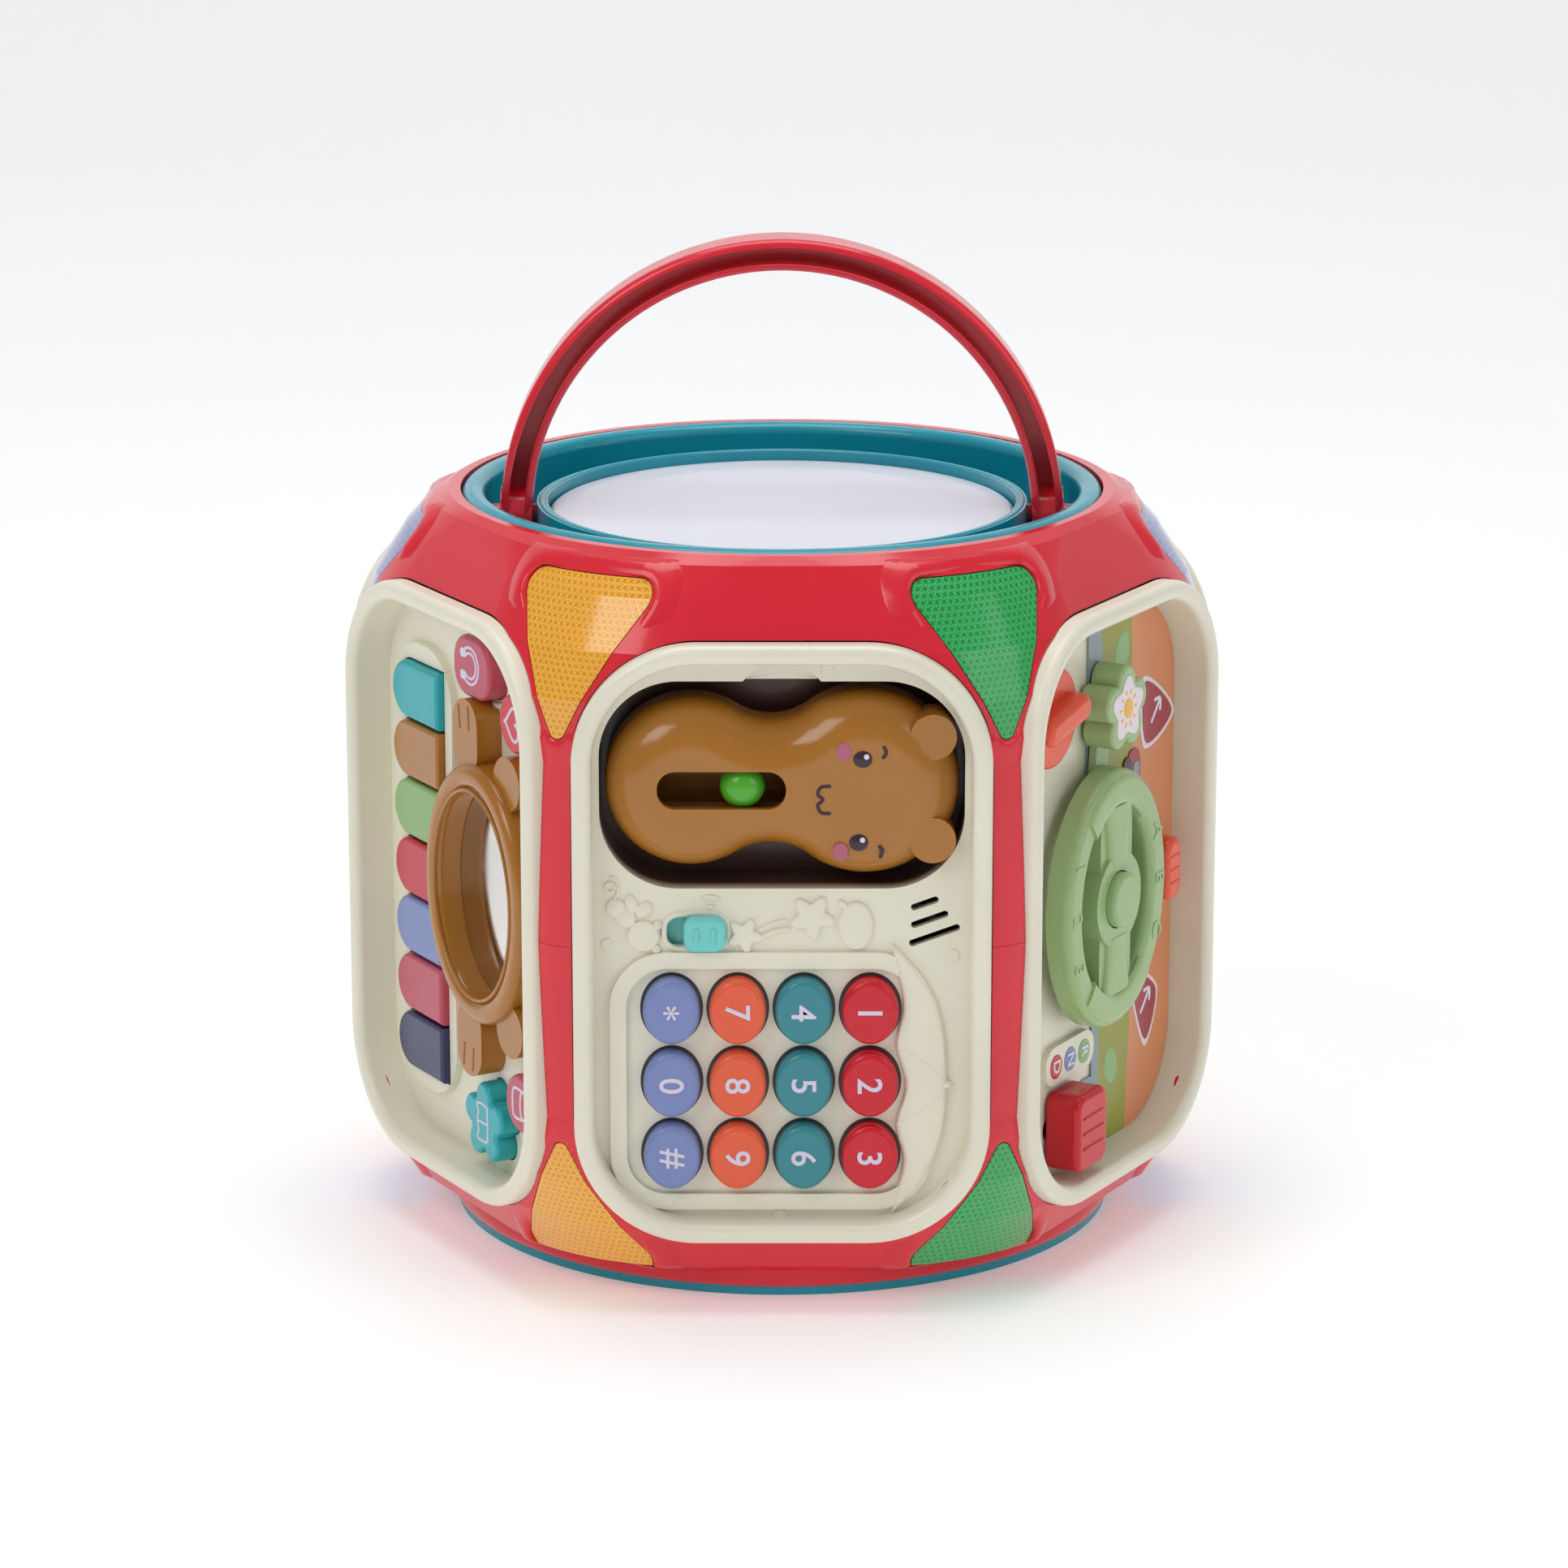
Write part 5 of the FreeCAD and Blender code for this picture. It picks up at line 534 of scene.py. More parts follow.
class DRUM_OT_finishes(Operator):
    """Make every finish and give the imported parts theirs"""
    bl_idname = "drum.finishes"
    bl_label = "Finishes"

    def execute(self, context):
        c = context.scene.drum_colours
        gloss = {"red": (0.2, 0.3), "teal": (0.26, 0.25), "cream": (0.34, 0.15),
                 "brown": (0.18, 0.35), "white": (0.3, 0.15), "ball": (0.2, 0.3)}
        mixed = ["shadow", "grass", "sky"] + [name + end for name in CORNERS
                                              for end in ("_deep", "_bright")]
        for name in (n for n in DrumColours.__annotations__ if n not in mixed):
            roughness, coat = gloss.get(name, (0.28, 0.15))
            make_plastic(name, tuple(getattr(c, name)), roughness, coat)
        FINISH["steel"].node_tree.nodes["Principled BSDF"].inputs["Metallic"].default_value = 1
        # Painted shade: the telephone tray's cream darkens deep in the handset's cradle.
        make_phone_tray("phone_tray", tuple(c.cream), tuple(c.shadow))
        pitch = in_mm(context.scene.drum_sizes.lens_pitch)
        for name in CORNERS:
            make_lens(name + "_window", tuple(getattr(c, name + "_deep")),
                      tuple(getattr(c, name + "_bright")), CORNERS[name][0], pitch)
        make_card("card", tuple(c.road), tuple(c.grass), tuple(c.sky))
        make_mirror("mirror_glass")
        wear = {name: finish for finish, names in (
            ("red", "upper_shell lower_shell handle"), ("teal", "top_ring base_cover battery_door"),
            ("steel", "case_screws"), ("phone_tray", "phone_panel"), ("board", "main_board"),
            ("dark", "speaker batteries"), ("mirror_glass", "mirror"), ("card", "scene_card"),
            ("brown", "mirror_frame handset_front handset_back"), ("white", "drum_pad"),
            ("mint", "slide_switch"), ("ball", "rattle_ball"),
            ("key_red", "mode_button_heart gear_lever"),
            ("piano_rose", "mode_button_song mode_button_drum"),
            ("key_teal_bright", "mode_button_star gear_small"), ("yellow", "gear_large"),
            ("leaf", "steering_wheel horn_button star_lever"), ("amber", "roller"),
            ("coral", "ignition_knob signal_slider"), ("piano_red", "spinner"))
                for name in names.split()}
        wear.update({name + "_lenses": name + "_window" for name in CORNERS})
        for names in KEY_NAMES:
            wear.update({"phone_key_" + n: f for n, f in zip(names, KEY_COLUMNS)})
        wear.update({"piano_key_" + n: f for n, f in zip(PIANO_NAMES, PIANO_FINISHES)})
        for name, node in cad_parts.items():
            material = FINISH[wear.get(name, "cream")]
            node.data.materials.clear()
            node.data.materials.append(material)
        return {"FINISHED"}


class DRUM_OT_bear_face(Operator):
    """Eyes, cheeks, brows and mouth on the handset"""
    bl_idname = "drum.bear_face"
    bl_label = "Bear face"

    def execute(self, context):
        level = -in_mm(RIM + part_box("handset_front")[0].y)
        thin = in_mm(context.scene.drum_sizes.print_rise)
        eyes = ((19.3, 46.8), (18.4, 26.2))
        add_piece("bear_eyes", [plate("phone", oval(*spot, 4.6, 4.2), level - SINK, level + 0.25,
                                      0.3, 0.45) for spot in eyes], "handset", "ink")
        add_piece("bear_eye_shines", [plate("phone", oval(u + 0.9, v + 0.7, 1.3, 1.3, count=24),
                                            level, level + 0.72, 0.2, 0.05) for u, v in eyes],
                  "handset", "white")
        add_piece("bear_cheeks", [plate("phone", oval(u, v, 3.6, 4.4), level - SINK, level + thin,
                                        0.12) for u, v in ((14.8, 48.6), (14.1, 23.9))],
                  "handset", "cheek")
        brows = (((24.0, 46.9), (24.9, 48.4), (24.2, 50.1)),
                 ((23.4, 22.2), (24.1, 23.9), (23.2, 25.4)))
        mouth = ((11.8, 40.1), (9.4, 39.9), (8.6, 38.1), (9.8, 36.8), (8.6, 35.4), (9.4, 33.6),
                 (11.8, 33.4))
        lines = [bead("phone", brow, 0.9, level, thin) for brow in brows]
        lines.append(bead("phone", mouth, 0.9, level, thin))
        add_piece("bear_lines", lines, "handset", "ink")
        return {"FINISHED"}


class DRUM_OT_key_numbers(Operator):
    """Numbers, star and hash on the telephone keys, each riding its own key"""
    bl_idname = "drum.key_numbers"
    bl_label = "Key numbers"

    def execute(self, context):
        size = in_mm(context.scene.drum_sizes.legend_size)
        thin = in_mm(context.scene.drum_sizes.print_rise)
        for row, names in enumerate(KEY_NAMES):
            for column, name in enumerate(names):
                key = "phone_key_" + name
                top = -in_mm(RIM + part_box(key)[0].y)
                add_piece("number_" + name, [glyph("phone", KEY_GLYPHS[row][column], size,
                                                   *part_middle(key), top, thin)],
                          key, "legend")
        return {"FINISHED"}


def spoke_arc(centre, radius, first, last, count=9):
    """Points of an arc, from one angle in degrees to another."""
    swing = np.radians(np.linspace(first, last, count))
    return np.stack((centre[0] + radius * np.cos(swing), centre[1] + radius * np.sin(swing)), -1)


class DRUM_OT_phone_marks(Operator):
    """Raised umbrella, stars, balloon, bee, sound waves and pin marks on the telephone tray"""
    bl_idname = "drum.phone_marks"
    bl_label = "Telephone tray marks"

    def execute(self, context):
        s = context.scene.drum_sizes
        rise, canopy = in_mm(s.mark_rise), in_mm(s.canopy_rise)

        def boss(outline, height, edge, crown=0.0):
            """A raised plate on this tray's floor."""
            return raised("phone", outline, height, edge, crown)

        def line(points, width, height, **how):
            """A bead on this tray's floor."""
            return bead("phone", points, width, PHONE_FLOOR, height, **how)

        inner = curve_through(((26.4, -0.8), (27.4, -5.7), (29.2, -16), (27.5, -26.1),
                               (29.9, -36.3), (27.6, -46.2), (29.4, -55.4), (27.6, -64.0),
                               (26.7, -68.6)), 90)
        outer = curve_through(((27.0, -0.6), (31.5, -5.4), (36.7, -12.9), (39.4, -22),
                               (40.2, -34), (39.9, -44), (37.9, -53.3), (33.5, -62),
                               (27.3, -68.8)), 90)
        umbrella = [ribbon("phone", inner, outer, PHONE_FLOOR, canopy, 1.2)]
        umbrella += [bead("phone", rib, 1.0, PHONE_FLOOR + canopy - 0.25, 0.45)
                     for rib in (((27.9, -26.1), (33.6, -29.4), (38.9, -34.2)),
                                 ((28.0, -46.2), (33.6, -42.6), (38.9, -38.0)))]
        umbrella.append(line(((38.5, -36.2), (41.6, -36.2)), 2.2, canopy))
        stars = [boss(star_outline(-9.1, 1.6, 4.4, 0.9, turn=-80), rise, 0.5, 0.15),
                 boss(star_outline(7.3, 6.3, 5.6, 1.15, turn=-85), rise, 0.6, 0.2)]
        stars += [line(trail, 1.1, rise * 0.8)
                  for trail in (((-5.6, 2.8), (-2.4, 4.4), (1.2, 5.4)),
                                ((-5.2, 0.8), (-1.6, 2.6), (2.2, 3.2)))]
        balloon = [boss(oval(17.9, 4.1, 8.6, 12.2), rise, 0.8, 0.35),
                   line(((16.2, 8.0), (13.7, 10.3)), 1.7, rise * 0.9, count=24)]
        bee = [boss(oval(across, up, wide, high, turn=turn), rise * level, 0.7, 0.35)
               for across, up, wide, high, turn, level in (
                   (-33.5, 1.4, 7.8, 7.8, 0, 1.1), (-37.8, 6.0, 5.6, 4.8, -45, 1.0),
                   (-40.1, 8.3, 5.2, 4.8, -45, 0.9), (-36.4, 9.4, 3.2, 5.0, 15, 0.8),
                   (-33.4, 8.0, 3.4, 5.0, -50, 0.8), (-30.0, 4.2, 2.2, 2.2, 0, 1.1),
                   (-30.4, -1.9, 2.2, 2.2, 0, 1.1))]
        bee += [line(((-40.4, 10.6), (-39.6, 12.6), (-39.9, 15.2), (-41.4, 16.4)), 0.8,
                     rise * 0.6),
                line(oval(-41.5, 13.6, 2.4, 2.4, count=12), 0.8, rise * 0.6, closed=True,
                     count=36)]
        volume = [line(spoke_arc((-17.2, 8.4), radius, 35, 145), 0.9, 0.5)
                  for radius in (1.4, 3.0)]
        volume.append(boss(oval(-17.2, 8.7, 1.2, 1.2, count=20), 0.5, 0.3))
        surround = oval(-20.7, part_middle("slide_switch")[1], 15.6, 9.4, power=3.0)
        frame_bead = [line(surround, 1.4, 0.55, closed=True, count=80)]
        pins = [boss(oval(u, v, 3.2, 3.2, count=28), 0.35, 0.25)
                for u, v in ((-42.3, -0.8), (41.4, -3.5), (-0.5, -70.0), (10.9, 67.8))]
        swing = np.radians(np.linspace(41, 139, 40))
        rim = np.stack((11.9 * np.cos(swing), 57.25 + 11.9 * np.sin(swing)), -1)
        chord = np.stack((np.linspace(rim[-1, 0], rim[0, 0], 22)[1:-1], np.full(20, 64.95)), -1)
        scoop = plate("phone", np.vstack((rim, chord)), -22.0, -9.6, 0.3)
        for name, skins in (("umbrella_mark", umbrella), ("star_marks", stars),
                            ("balloon_mark", balloon), ("bee_mark", bee),
                            ("volume_mark", volume), ("switch_surround", frame_bead),
                            ("pin_marks", pins), ("thumb_scoop", [scoop])):
            add_piece(name, skins)
        # Painted shade: a dark sheet 0.06 mm high under each phone key, whose rim round the key
        # stands in for the shade in the gap between key and tray.
        wells = [boss(oval(*part_middle("phone_key_" + name), 15.3, 18.0), 0.06, 0.03)
                 for names in KEY_NAMES for name in names]
        add_piece("key_wells", wells, finish="dark")
        return {"FINISHED"}


class DRUM_OT_piano_marks(Operator):
    """White icons on the mode buttons, raised collars round them and the mirror bear's marks"""
    bl_idname = "drum.piano_marks"
    bl_label = "Piano tray marks"

    def execute(self, context):
        thin = in_mm(context.scene.drum_sizes.print_rise)
        top = BUTTON_TOP
        song = [bead("piano", spoke_arc((10.6, 59.8), 4.6, -140, 140, 15), 0.8, top, thin),
                bead("piano", spoke_arc((10.6, 59.8), 3.2, -140, 140, 15), 0.8, top, thin),
                plate("piano", oval(7.2, 62.6, 3.0, 2.4, power=3.5), top - 0.1, top + thin, 0.1),
                plate("piano", oval(7.2, 57.0, 3.0, 2.4, power=3.5), top - 0.1, top + thin, 0.1)]
        add_piece("song_icon", song, "mode_button_song", "legend")
        swing = np.linspace(0, 2 * math.pi, 41)[:-1]
        heart = np.stack((33 + 0.25 * (13 * np.cos(swing) - 5 * np.cos(2 * swing)
                                       - 2 * np.cos(3 * swing) - np.cos(4 * swing)),
                          50 + 0.26 * 16 * np.sin(swing) ** 3), -1)
        add_piece("heart_icon", [bead("piano", heart, 0.9, top, thin, closed=True, count=80)],
                  "mode_button_heart", "legend")
        book = [bead("piano", ((11.2, -57), (16.8, -57)), 0.7, top, thin)]
        for sign in (1, -1):
            leaf = ((11.2, -57), (11.8, -57 + sign * 2.4), (11.4, -57 + sign * 4.6),
                    (16.2, -57 + sign * 4.6), (16.6, -57 + sign * 2.4), (16.8, -57))
            book.append(bead("piano", leaf, 0.7, top, thin))
        add_piece("book_icon", book, "mode_button_star", "legend")
        drum = [bead("piano", oval(36.2, -46.5, 3.2, 7.4, count=20), 0.8, top, thin, closed=True),
                bead("piano", ((36.2, -42.8), (31.4, -42.9), (30.6, -46.5), (31.4, -50.1),
                               (36.2, -50.2)), 0.8, top, thin),
                bead("piano", ((38.4, -45.6), (40.2, -43.2)), 0.8, top, thin)]
        add_piece("drum_icon", drum, "mode_button_drum", "legend")
        rise = in_mm(context.scene.drum_sizes.mark_rise)
        collars = [bead("piano", oval(11, 59.4, 22.6, 18.6, power=3.2), 1.8, TRAY_FLOOR, rise,
                        closed=True, count=90),
                   *(bead("piano", oval(u, v, 18.2, 18.2), 1.6, TRAY_FLOOR, rise, closed=True,
                          count=90) for u, v in ((33, 50), (34, -46.5)))]
        add_piece("button_collars", collars)
        paw_top = -4.15
        paws = [bead("piano", [(u, 3 + sign * (39 + v)) for u, v in line], 0.7, paw_top, 0.3)
                for sign in (1, -1)
                for line in (((6.6, 7.6), (6.9, 4.6), (7.4, 1.4)),
                             ((11.6, 8.0), (11.9, 5.0), (12.2, 1.8)))]
        add_piece("paw_lines", paws, finish="brown")
        add_piece("mirror_bead", [bead("piano", oval(16, 3, 41.2, 53.2), 1.0, MIRROR_FRAME_TOP,
                                       0.6, closed=True, count=120)], finish="brown")
        return {"FINISHED"}


class DRUM_OT_driving_marks(Operator):
    """Sun sticker, wheel marks, road signs, car and gear letters on the driving tray"""
    bl_idname = "drum.driving_marks"
    bl_label = "Driving tray marks"

    def execute(self, context):
        thin = in_mm(context.scene.drum_sizes.print_rise)

        def printed(outline, rise=2.0, sunk=0.2, top=CARD_TOP):
            """A flat print, so many print thicknesses high, on the card or at another level."""
            return plate("driving", outline, top - sunk, top + thin * rise, 0.1)

        star = np.array(STAR_SPOT)
        add_piece("star_sticker", [printed(star_outline(*star, 8.4, 1.25), 1, top=STAR_TOP)],
                  "star_lever", "sticker")
        sun = [plate("driving", oval(*star, 4.6, 5.0, count=32), STAR_TOP, STAR_TOP + thin * 2,
                     0.12, 0.1)]
        for turn in range(0, 360, 36):
            way = np.array((math.cos(math.radians(turn)), math.sin(math.radians(turn))))
            sun.append(bead("driving", (star + way * (3.3, 3.5), star + way * (4.7, 5.0)), 0.85,
                            STAR_TOP + thin - 0.05, thin, count=12))
        add_piece("sun_print", sun, "star_lever", "yellow")
        letters = [glyph("driving", text, 6.2, across, up - 0.7, WHEEL_TOP - 0.35, 0.6)
                   for text, across, up in (("1", -25.2, 13), ("2", -26.6, 0), ("3", -25.2, -13),
                                            ("A", 17.2, 13), ("B", 18.6, 0), ("C", 17.2, -13))]
        add_piece("wheel_letters", letters, "steering_wheel", "leaf")
        pads, spokes = [], []
        run = np.linspace(0, 1, 30)
        half = 5.2 + 2.4 * run ** 2
        for sign in (1, -1):
            swing = np.radians(np.linspace(48, 132, 60)) * sign
            way = np.stack((np.cos(swing), np.sin(swing)), -1)
            inner, outer = (WHEEL_SPOT + way * reach for reach in ((18.6, 24.3), (25.6, 31.6)))
            pads.append(ribbon("driving", inner, outer, WHEEL_TOP - 0.5, 1.1, 1.6))
            left, right = (WHEEL_SPOT + np.stack((side * half, sign * (9.6 + 14.6 * run)), -1)
                           for side in (-1, 1))
            spokes.append(ribbon("driving", left, right, WHEEL_TOP - 1.0, 1.15, 1.8))
        add_piece("wheel_pads", pads, "steering_wheel", "leaf")
        add_piece("wheel_spoke_pads", spokes, "steering_wheel", "leaf")
        for number, (corners, middle) in enumerate((
                (((27.6, 47.0), (42.6, 36.6), (28.4, 31.0)), (33.2, 38.2)),
                (((22.8, -29.4), (36.2, -35.8), (30.4, -48.0)), (29.8, -37.7)))):
            ring = curve_through(corners, 60, closed=True)
            centre = np.array(middle)
            border = printed(centre + (ring - centre) * 1.18, 1)
            add_piece("sign_border_%d" % number, [border], finish="sticker")
            add_piece("sign_face_%d" % number, [printed(ring, sunk=0)], finish="badge")
            arrow = [bead("driving", centre + np.array(line), 1.0, CARD_TOP + thin * 2, thin)
                     for line in (((-2.4, -2.6), (0, 0), (2.4, 2.8)),
                                  ((2.6, -0.4), (2.5, 2.9), (-0.8, 3.0)))]
            add_piece("sign_arrow_%d" % number, arrow, finish="white")
        leaves = [plate("driving", oval(u, v, wide, high, turn=turn), CARD_TOP - 0.2,
                        CARD_TOP + thin * 0.6, 0.08)
                  for u, v, wide, high, turn in ((14.5, 57.5, 7.5, 10.5, -20),
                                                 (12.5, -12, 6.5, 9, 15), (15.5, 13.5, 6, 8.5, 0),
                                                 (11.5, -50, 7, 10, 20))]
        car = [printed(oval(21.5, 21.5, 7.6, 19, power=3.4))]
        glass = [printed(oval(22.6, v, 3.4, 5.4, power=3.5), 3, 0) for v in (18.2, 24.8)]
        wheels = [printed(oval(17.8, v, 4.4, 4.4, count=30), 2.6, 0) for v in (15.6, 27.4)]
        for name, skins, finish in (("leaf_prints", leaves, "piano_green"),
                                    ("car_print", car, "badge"), ("car_windows", glass, "road"),
                                    ("car_wheels", wheels, "ink")):
            add_piece(name, skins, finish=finish)
        gears_up = -41.2
        for text, across, colour in (("D", -20.6, "key_red"), ("N", -13, "key_blue"),
                                     ("R", -5.4, "piano_green")):
            disc = printed(oval(across, gears_up, 6.2, 6.2, count=40), 1, top=GEAR_PLATE_TOP)
            add_piece("gear_disc_" + text, [disc], finish=colour)
            letter = glyph("driving", text, 5.0, across, gears_up, GEAR_PLATE_TOP + thin, thin)
            add_piece("gear_letter_" + text, [letter], finish="white")
        ridges = [bead("driving", ((32.6, v), (37.4, v)), 1.0, -4.6, 0.45, count=24)
                  for v in (-6.5, -3, 0.5)]
        add_piece("slider_ridges", ridges, "signal_slider", "coral")
        grips = [bead("driving", ((-21.5, v), (-10.5, v)), 1.1, -1.1, 0.5, count=24)
                 for v in (-61.5, -57.5, -53.5)]
        add_piece("lever_ridges", grips, "gear_lever", "key_red")
        return {"FINISHED"}


def shell_reach(across, height):
    """Distance of the shell's outside from the axis at a corner, for a distance across and a
    height from the middle: a circle of the corner's radius about its centre, and the flat beyond
    it. The flat and the radius are read off the shell's own steps by height."""
    flats, corners = (97.5, 97.5, 96.2, 89.6, 85.4, 83.4), (14, 33, 52, 54.5, 65, 78)
    steps = (-88.9, -86.9, -84.2, -72.2, -60.5, 0, 60.5, 72.2, 84.2, 91.5, 93.5)
    flat = np.interp(height, steps, flats[:0:-1] + flats)
    corner = np.interp(height, steps, corners[:0:-1] + corners)
    cosine = math.cos(math.pi / 6)
    round_part = (flat - corner) / cosine + np.sqrt(np.maximum(corner ** 2 - across ** 2, 0))
    flat_part = flat / cosine - np.abs(across) * math.tan(math.pi / 6)
    return np.where(np.abs(across) < corner / 2, round_part, flat_part)


def window_outline(upper, spare, count=120):
    """Outline of a corner window: in each direction the farthest point of three circles, two at
    its wide end and one at its narrow end, each with the spare added to its radius."""
    swing = np.arange(count) / count * 2 * math.pi
    way = np.stack((np.cos(swing), np.sin(swing)), -1)
    wide_end = 84.1 if upper else -81.8
    tip = 53 if upper else -53
    centres = np.array(((13.1, wide_end), (-13.1, wide_end), (0, tip)))
    radii = np.array((4.4, 4.4, 2.3)) + spare
    chosen = (way @ centres.T + radii).argmax(axis=1)
    return centres[chosen] + way * radii[chosen][:, None]


def beside_trays(points, azimuth, under=0.5):
    """Moves points that lie under a neighbouring tray out towards its edge, to no more than so
    many millimetres inside it. In the tray's own plane the signed distance to its rounded
    outline is the length beyond the inner box less the corner's radius; a point deeper than the
    limit slides along that distance's slope to the limit."""
    low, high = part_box("phone_panel")
    half = np.array((in_mm(high.x - low.x) / 2, in_mm(high.z - low.z) / 2))
    for step in (-30, 30):
        turn = math.radians(azimuth + step)
        across = np.array((math.cos(turn), math.sin(turn), 0)) / MM
        flat = np.stack((points @ across, (points[..., 2] - MIDDLE) / MM), -1)
        beyond = np.abs(flat) - (half - TRAY_CORNER)
        length = np.linalg.norm(np.maximum(beyond, 0), axis=-1)
        distance = length + np.minimum(beyond.max(axis=-1), 0) - TRAY_CORNER
        slope = np.maximum(beyond, 0) / (length[..., None] + 1e-9) * np.sign(flat)
        move = slope * np.maximum(-under - distance, 0)[..., None]
        points = (points + move[..., :1] * across * MM * MM
                  + move[..., 1:] * np.array((0, 0, MM)))
    return points


class DRUM_OT_window_pods(Operator):
    """A raised red surround round each of the twelve corner windows"""
    bl_idname = "drum.window_pods"
    bl_label = "Window surrounds"

    def execute(self, context):
        s = context.scene.drum_sizes
        reach_out, lift = in_mm(s.pod_width), in_mm(s.pod_rise)
        lowest, highest = -87.6, 92.4
        fade_start, fade_length = 50, 24
        profile = np.array(((0.02, -1.2), (0.03, 0.0), (0.05, 0.42), (0.1, 0.74), (0.2, 0.96),
                            (0.34, 1.0), (0.5, 0.84), (0.66, 0.54), (0.82, 0.2), (0.94, -0.06),
                            (1.0, -0.5), (0.9, -1.4), (0.4, -1.4)))
        for name, azimuths in CORNERS.items():
            skins = []
            for azimuth in azimuths:
                for upper in (True, False):
                    rings = np.stack([window_outline(upper, share * reach_out)
                                      for share in profile[:, 0]])
                    height = np.clip(rings[..., 1], lowest, highest)
                    ease = np.clip((np.abs(height) - fade_start) / fade_length, 0, 1)
                    size = 0.3 + 0.7 * ease ** 2 * (3 - 2 * ease)
                    rise = profile[:, 1, None] * lift
                    rise = np.where(rise > 0, rise * size, rise)
                    reach = shell_reach(rings[..., 0], height) + rise
                    points = place(azimuth, rings[..., 0], height, reach - in_mm(RIM))
                    skins.append(loft(beside_trays(points, azimuth), closed=True))
            add_piece(name + "_window_pods", skins, finish="red")
        return {"FINISHED"}


class DRUM_OT_top_marks(Operator):
    """The lower shell's turned-down edge and the bead on the collar round the pad"""
    bl_idname = "drum.top_marks"
    bl_label = "Top marks"

    def execute(self, context):
        around = (np.arange(240) / 240 * 2 * math.pi)[:, None]

        def hoop(profile):
            """A closed profile of distances from the axis and heights, carried round a circle."""
            reach, level = profile[None, :, 0], profile[None, :, 1]
            return loft(np.stack((reach * np.cos(around), reach * np.sin(around),
                                  level + 0 * around), -1) * MM, closed=True)

        skirt = np.array(((83.6, 7.6), (86.0, 7.7), (86.5, 7.2), (86.5, 6.0), (86.2, 4.6),
                          (85.8, 3.4), (85.3, 2.6), (84.95, 2.35), (84.65, 2.4), (84.62, 4.68),
                          (83.6, 4.7)))
        add_piece("shell_skirt", [hoop(skirt)], finish="red")
        swing = np.linspace(0, 2 * math.pi, 13)[:-1]
        collar = np.stack((60.7 + 0.8 * np.cos(swing),
                           in_mm(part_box("top_ring")[1].z) - 4.2 + 0.35 * np.sin(swing)), -1)
        add_piece("collar_bead", [hoop(collar)], finish="teal")
        return {"FINISHED"}


class DRUM_OT_back_trays(Operator):
    """Raised and coloured details of the gear, roller and spinner trays"""
    bl_idname = "drum.back_trays"
    bl_label = "Back trays"

    def execute(self, context):
        rise = in_mm(context.scene.drum_sizes.mark_rise)
        flowers = [raised(side, star_outline(u, v, 7.2, 1.0, 6, 0), rise, 0.6, 0.3)
                   for side, u, v in (("gear", -31, 56), ("gear", 30, -54), ("roller", -28, 55),
                                      ("roller", 28, 52), ("spinner", -28, -52),
                                      ("spinner", 28, 56))]
        add_piece("flower_marks", flowers)
        stars = [raised(side, star_outline(u, v, 5.2, 1.1), rise, 0.6, 0.2)
                 for side, u, v in (("gear", 32, 52), ("gear", -32, -50), ("roller", 0, -52),
                                    ("roller", -30, -44), ("roller", 30, -44),
                                    ("spinner", -28, 52), ("spinner", 30, -48))]
        add_piece("back_star_marks", stars)
        return {"FINISHED"}


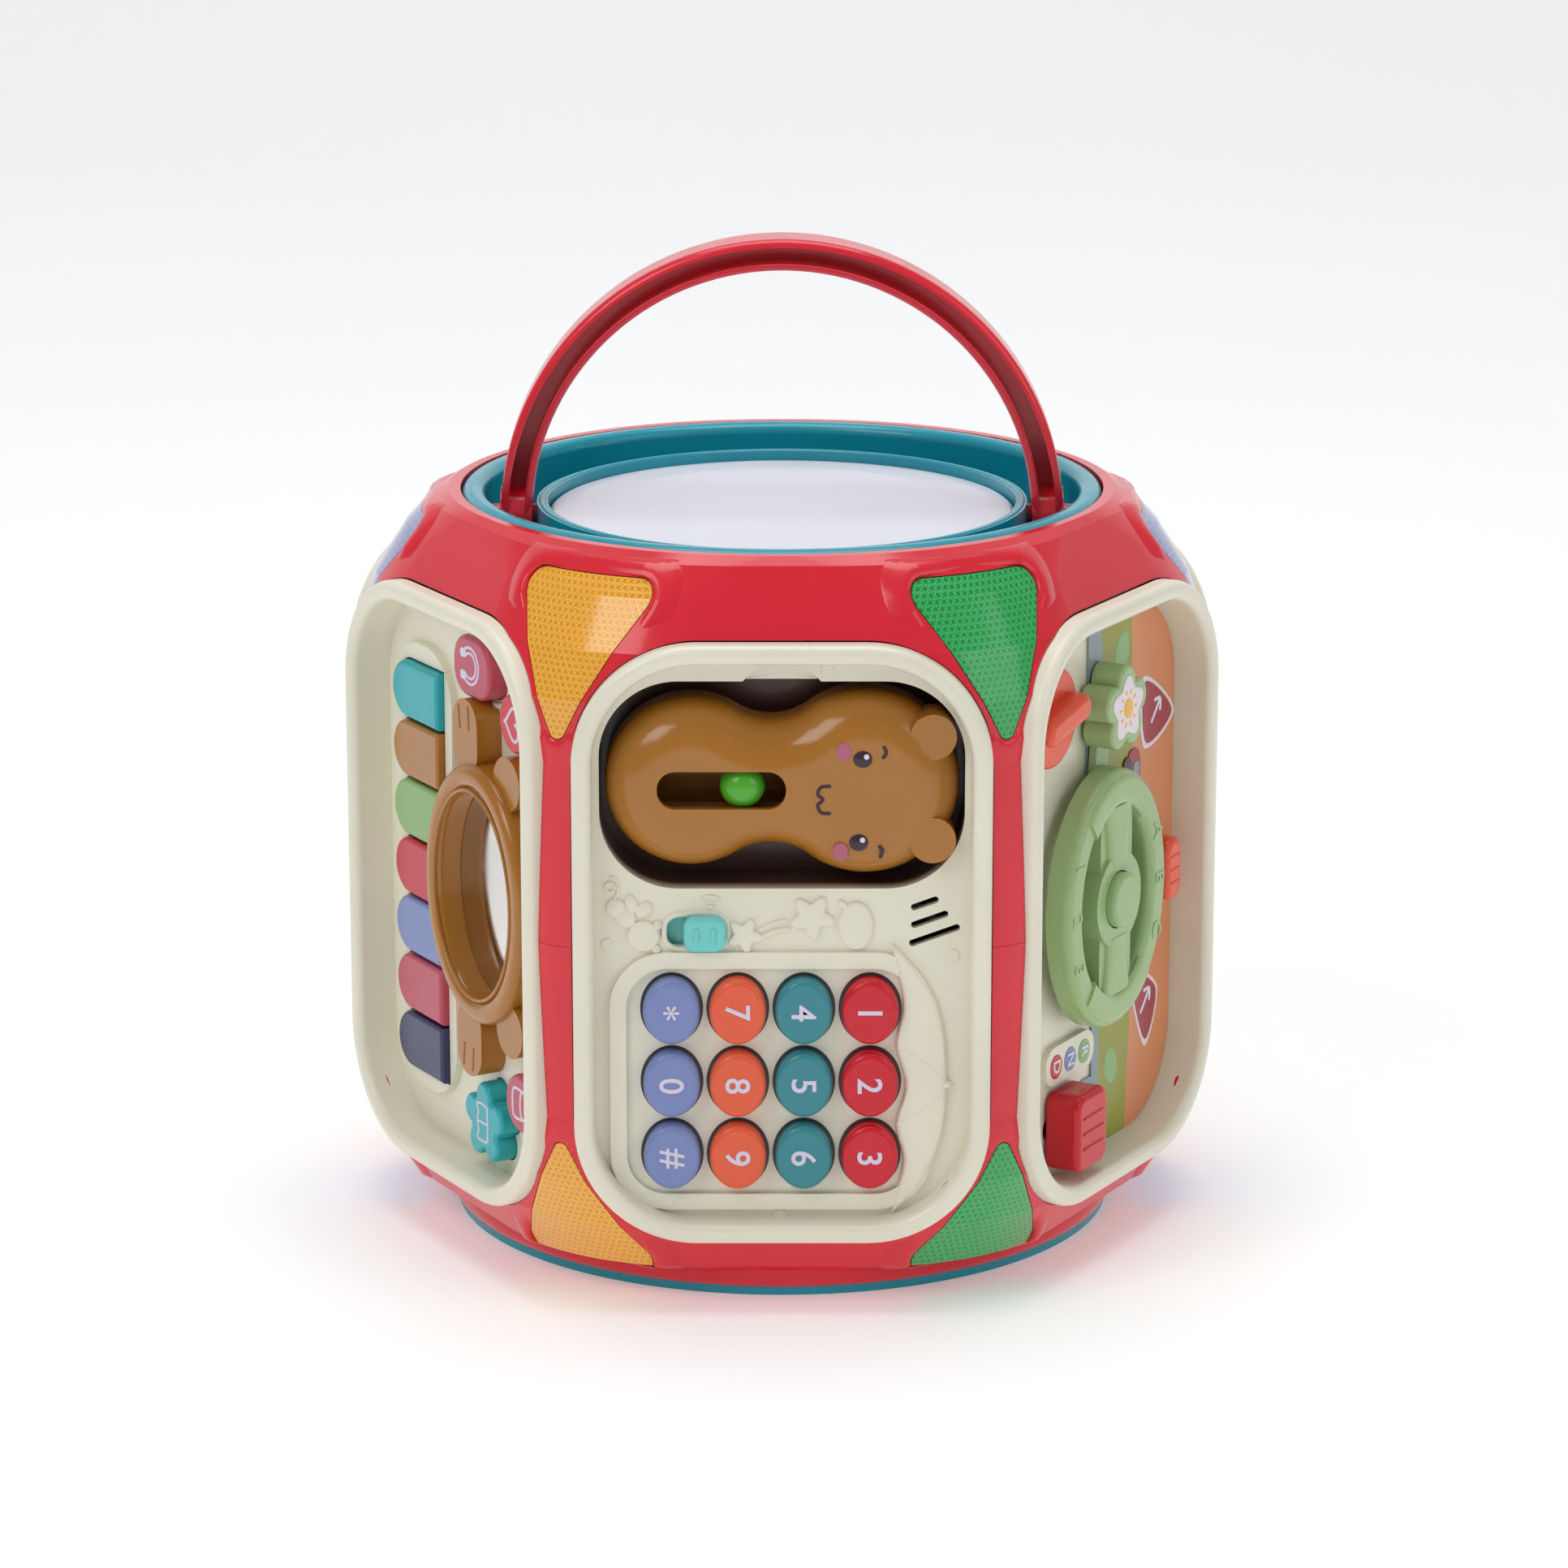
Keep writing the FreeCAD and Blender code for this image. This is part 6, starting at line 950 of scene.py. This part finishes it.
class DRUM_OT_stage(Operator):
    """A pale floor that curves up behind, soft lights and the camera"""
    bl_idname = "drum.stage"
    bl_label = "Stage"

    def execute(self, context):
        tree, shader, coordinates = start_finish("paper")
        tree.links.new(add_mix(tree, add_noise(tree, coordinates, 2, 1), (0.9, 0.9, 0.91),
                               (0.93, 0.93, 0.93)), shader.inputs["Base Color"])
        shader.inputs["Roughness"].default_value = 0.85
        shader.inputs["Emission Color"].default_value = (1, 1, 1, 1)
        shader.inputs["Emission Strength"].default_value = 0.22
        across = np.linspace(-4, 4, 9)
        run = np.linspace(0, math.pi / 2, 16)
        back = np.concatenate(((-4, -2, 0, 1.2), 1.6 + np.sin(run) * 0.8, (2.4, 2.4)))
        height = np.concatenate(((0, 0, 0, 0), 0.8 - np.cos(run) * 0.8, (2, 4)))
        grid = np.stack(np.broadcast_arrays(across[:, None], back[None], height[None]), -1)
        rows, columns = grid.shape[:2]
        index = np.arange(rows * columns).reshape(rows, columns)
        faces = np.stack((index[:-1, :-1], index[1:, :-1], index[1:, 1:], index[:-1, 1:]), -1)
        mesh = bpy.data.meshes.new("paper_sweep")
        mesh.from_pydata(grid.reshape(-1, 3).tolist(), [], faces.reshape(-1, 4).tolist())
        mesh.shade_smooth()
        mesh.materials.append(FINISH["paper"])
        sweep = bpy.data.objects.new("paper_sweep", mesh)
        context.scene.collection.objects.link(sweep)
        stage = context.scene.drum_stage
        world = bpy.data.worlds.new("studio")
        world.use_nodes = True
        backing = world.node_tree.nodes["Background"]
        backing.inputs["Color"].default_value = (0.95, 0.97, 1, 1)
        backing.inputs["Strength"].default_value = 0.33 * stage.brightness
        context.scene.world = world
        context.scene.view_settings.view_transform = "Standard"
        for name, spot, size, power in (("key_light", (-1.3, -1.4, 1.7), 1.1, 13),
                                        ("fill_light", (1.6, -1.0, 1.0), 1.2, 5),
                                        ("top_light", (0, 0.1, 2.1), 1.4, 19)):
            light = bpy.data.lights.new(name, "AREA")
            light.size = size
            light.energy = power * stage.brightness
            lamp = bpy.data.objects.new(name, light)
            x, y, z = spot
            lamp.location = spot
            lamp.rotation_euler = (math.atan2(math.hypot(x, y), z - 0.12), 0,
                                   math.atan2(y, x) + math.pi / 2)
            context.scene.collection.objects.link(lamp)
        camera = bpy.data.cameras.new("camera")
        camera.sensor_width = 36
        camera.lens = stage.lens
        camera.shift_x = 0.0013
        holder = bpy.data.objects.new("camera", camera)
        holder.location = (0, -stage.distance, stage.height)
        holder.rotation_euler = (stage.tilt, 0, 0)
        context.scene.collection.objects.link(holder)
        context.scene.camera = holder
        return {"FINISHED"}


OPERATORS = (DRUM_OT_finishes, DRUM_OT_bear_face, DRUM_OT_key_numbers, DRUM_OT_phone_marks,
             DRUM_OT_piano_marks, DRUM_OT_driving_marks, DRUM_OT_window_pods, DRUM_OT_top_marks,
             DRUM_OT_back_trays, DRUM_OT_stage)


class DRUM_PT_pieces(Panel):
    """The drum's pieces and settings in the sidebar."""
    bl_label = "Activity drum"
    bl_idname = "DRUM_PT_pieces"
    bl_space_type = "VIEW_3D"
    bl_region_type = "UI"
    bl_category = "Drum"

    def draw(self, context):
        for operator in OPERATORS:
            self.layout.operator(operator.bl_idname)
        for settings in (context.scene.drum_sizes, context.scene.drum_stage,
                         context.scene.drum_colours):
            box = self.layout.box()
            for name in settings.__annotations__:
                box.prop(settings, name)


CLASSES = (DrumColours, DrumSizes, DrumStage, *OPERATORS, DRUM_PT_pieces)


SETTINGS = {"drum_colours": DrumColours, "drum_sizes": DrumSizes, "drum_stage": DrumStage}


def register():
    for item in CLASSES:
        bpy.utils.register_class(item)
    for name, kind in SETTINGS.items():
        setattr(bpy.types.Scene, name, PointerProperty(type=kind))


def unregister():
    for name in SETTINGS:
        delattr(bpy.types.Scene, name)
    for item in reversed(CLASSES):
        bpy.utils.unregister_class(item)


def main():
    register()
    bpy.ops.drum.finishes()
    bpy.ops.drum.stage()
    bpy.ops.drum.bear_face()
    bpy.ops.drum.key_numbers()
    bpy.ops.drum.phone_marks()
    bpy.ops.drum.piano_marks()
    bpy.ops.drum.driving_marks()
    bpy.ops.drum.window_pods()
    bpy.ops.drum.top_marks()
    bpy.ops.drum.back_trays()


if __name__ == "__main__":
    main()
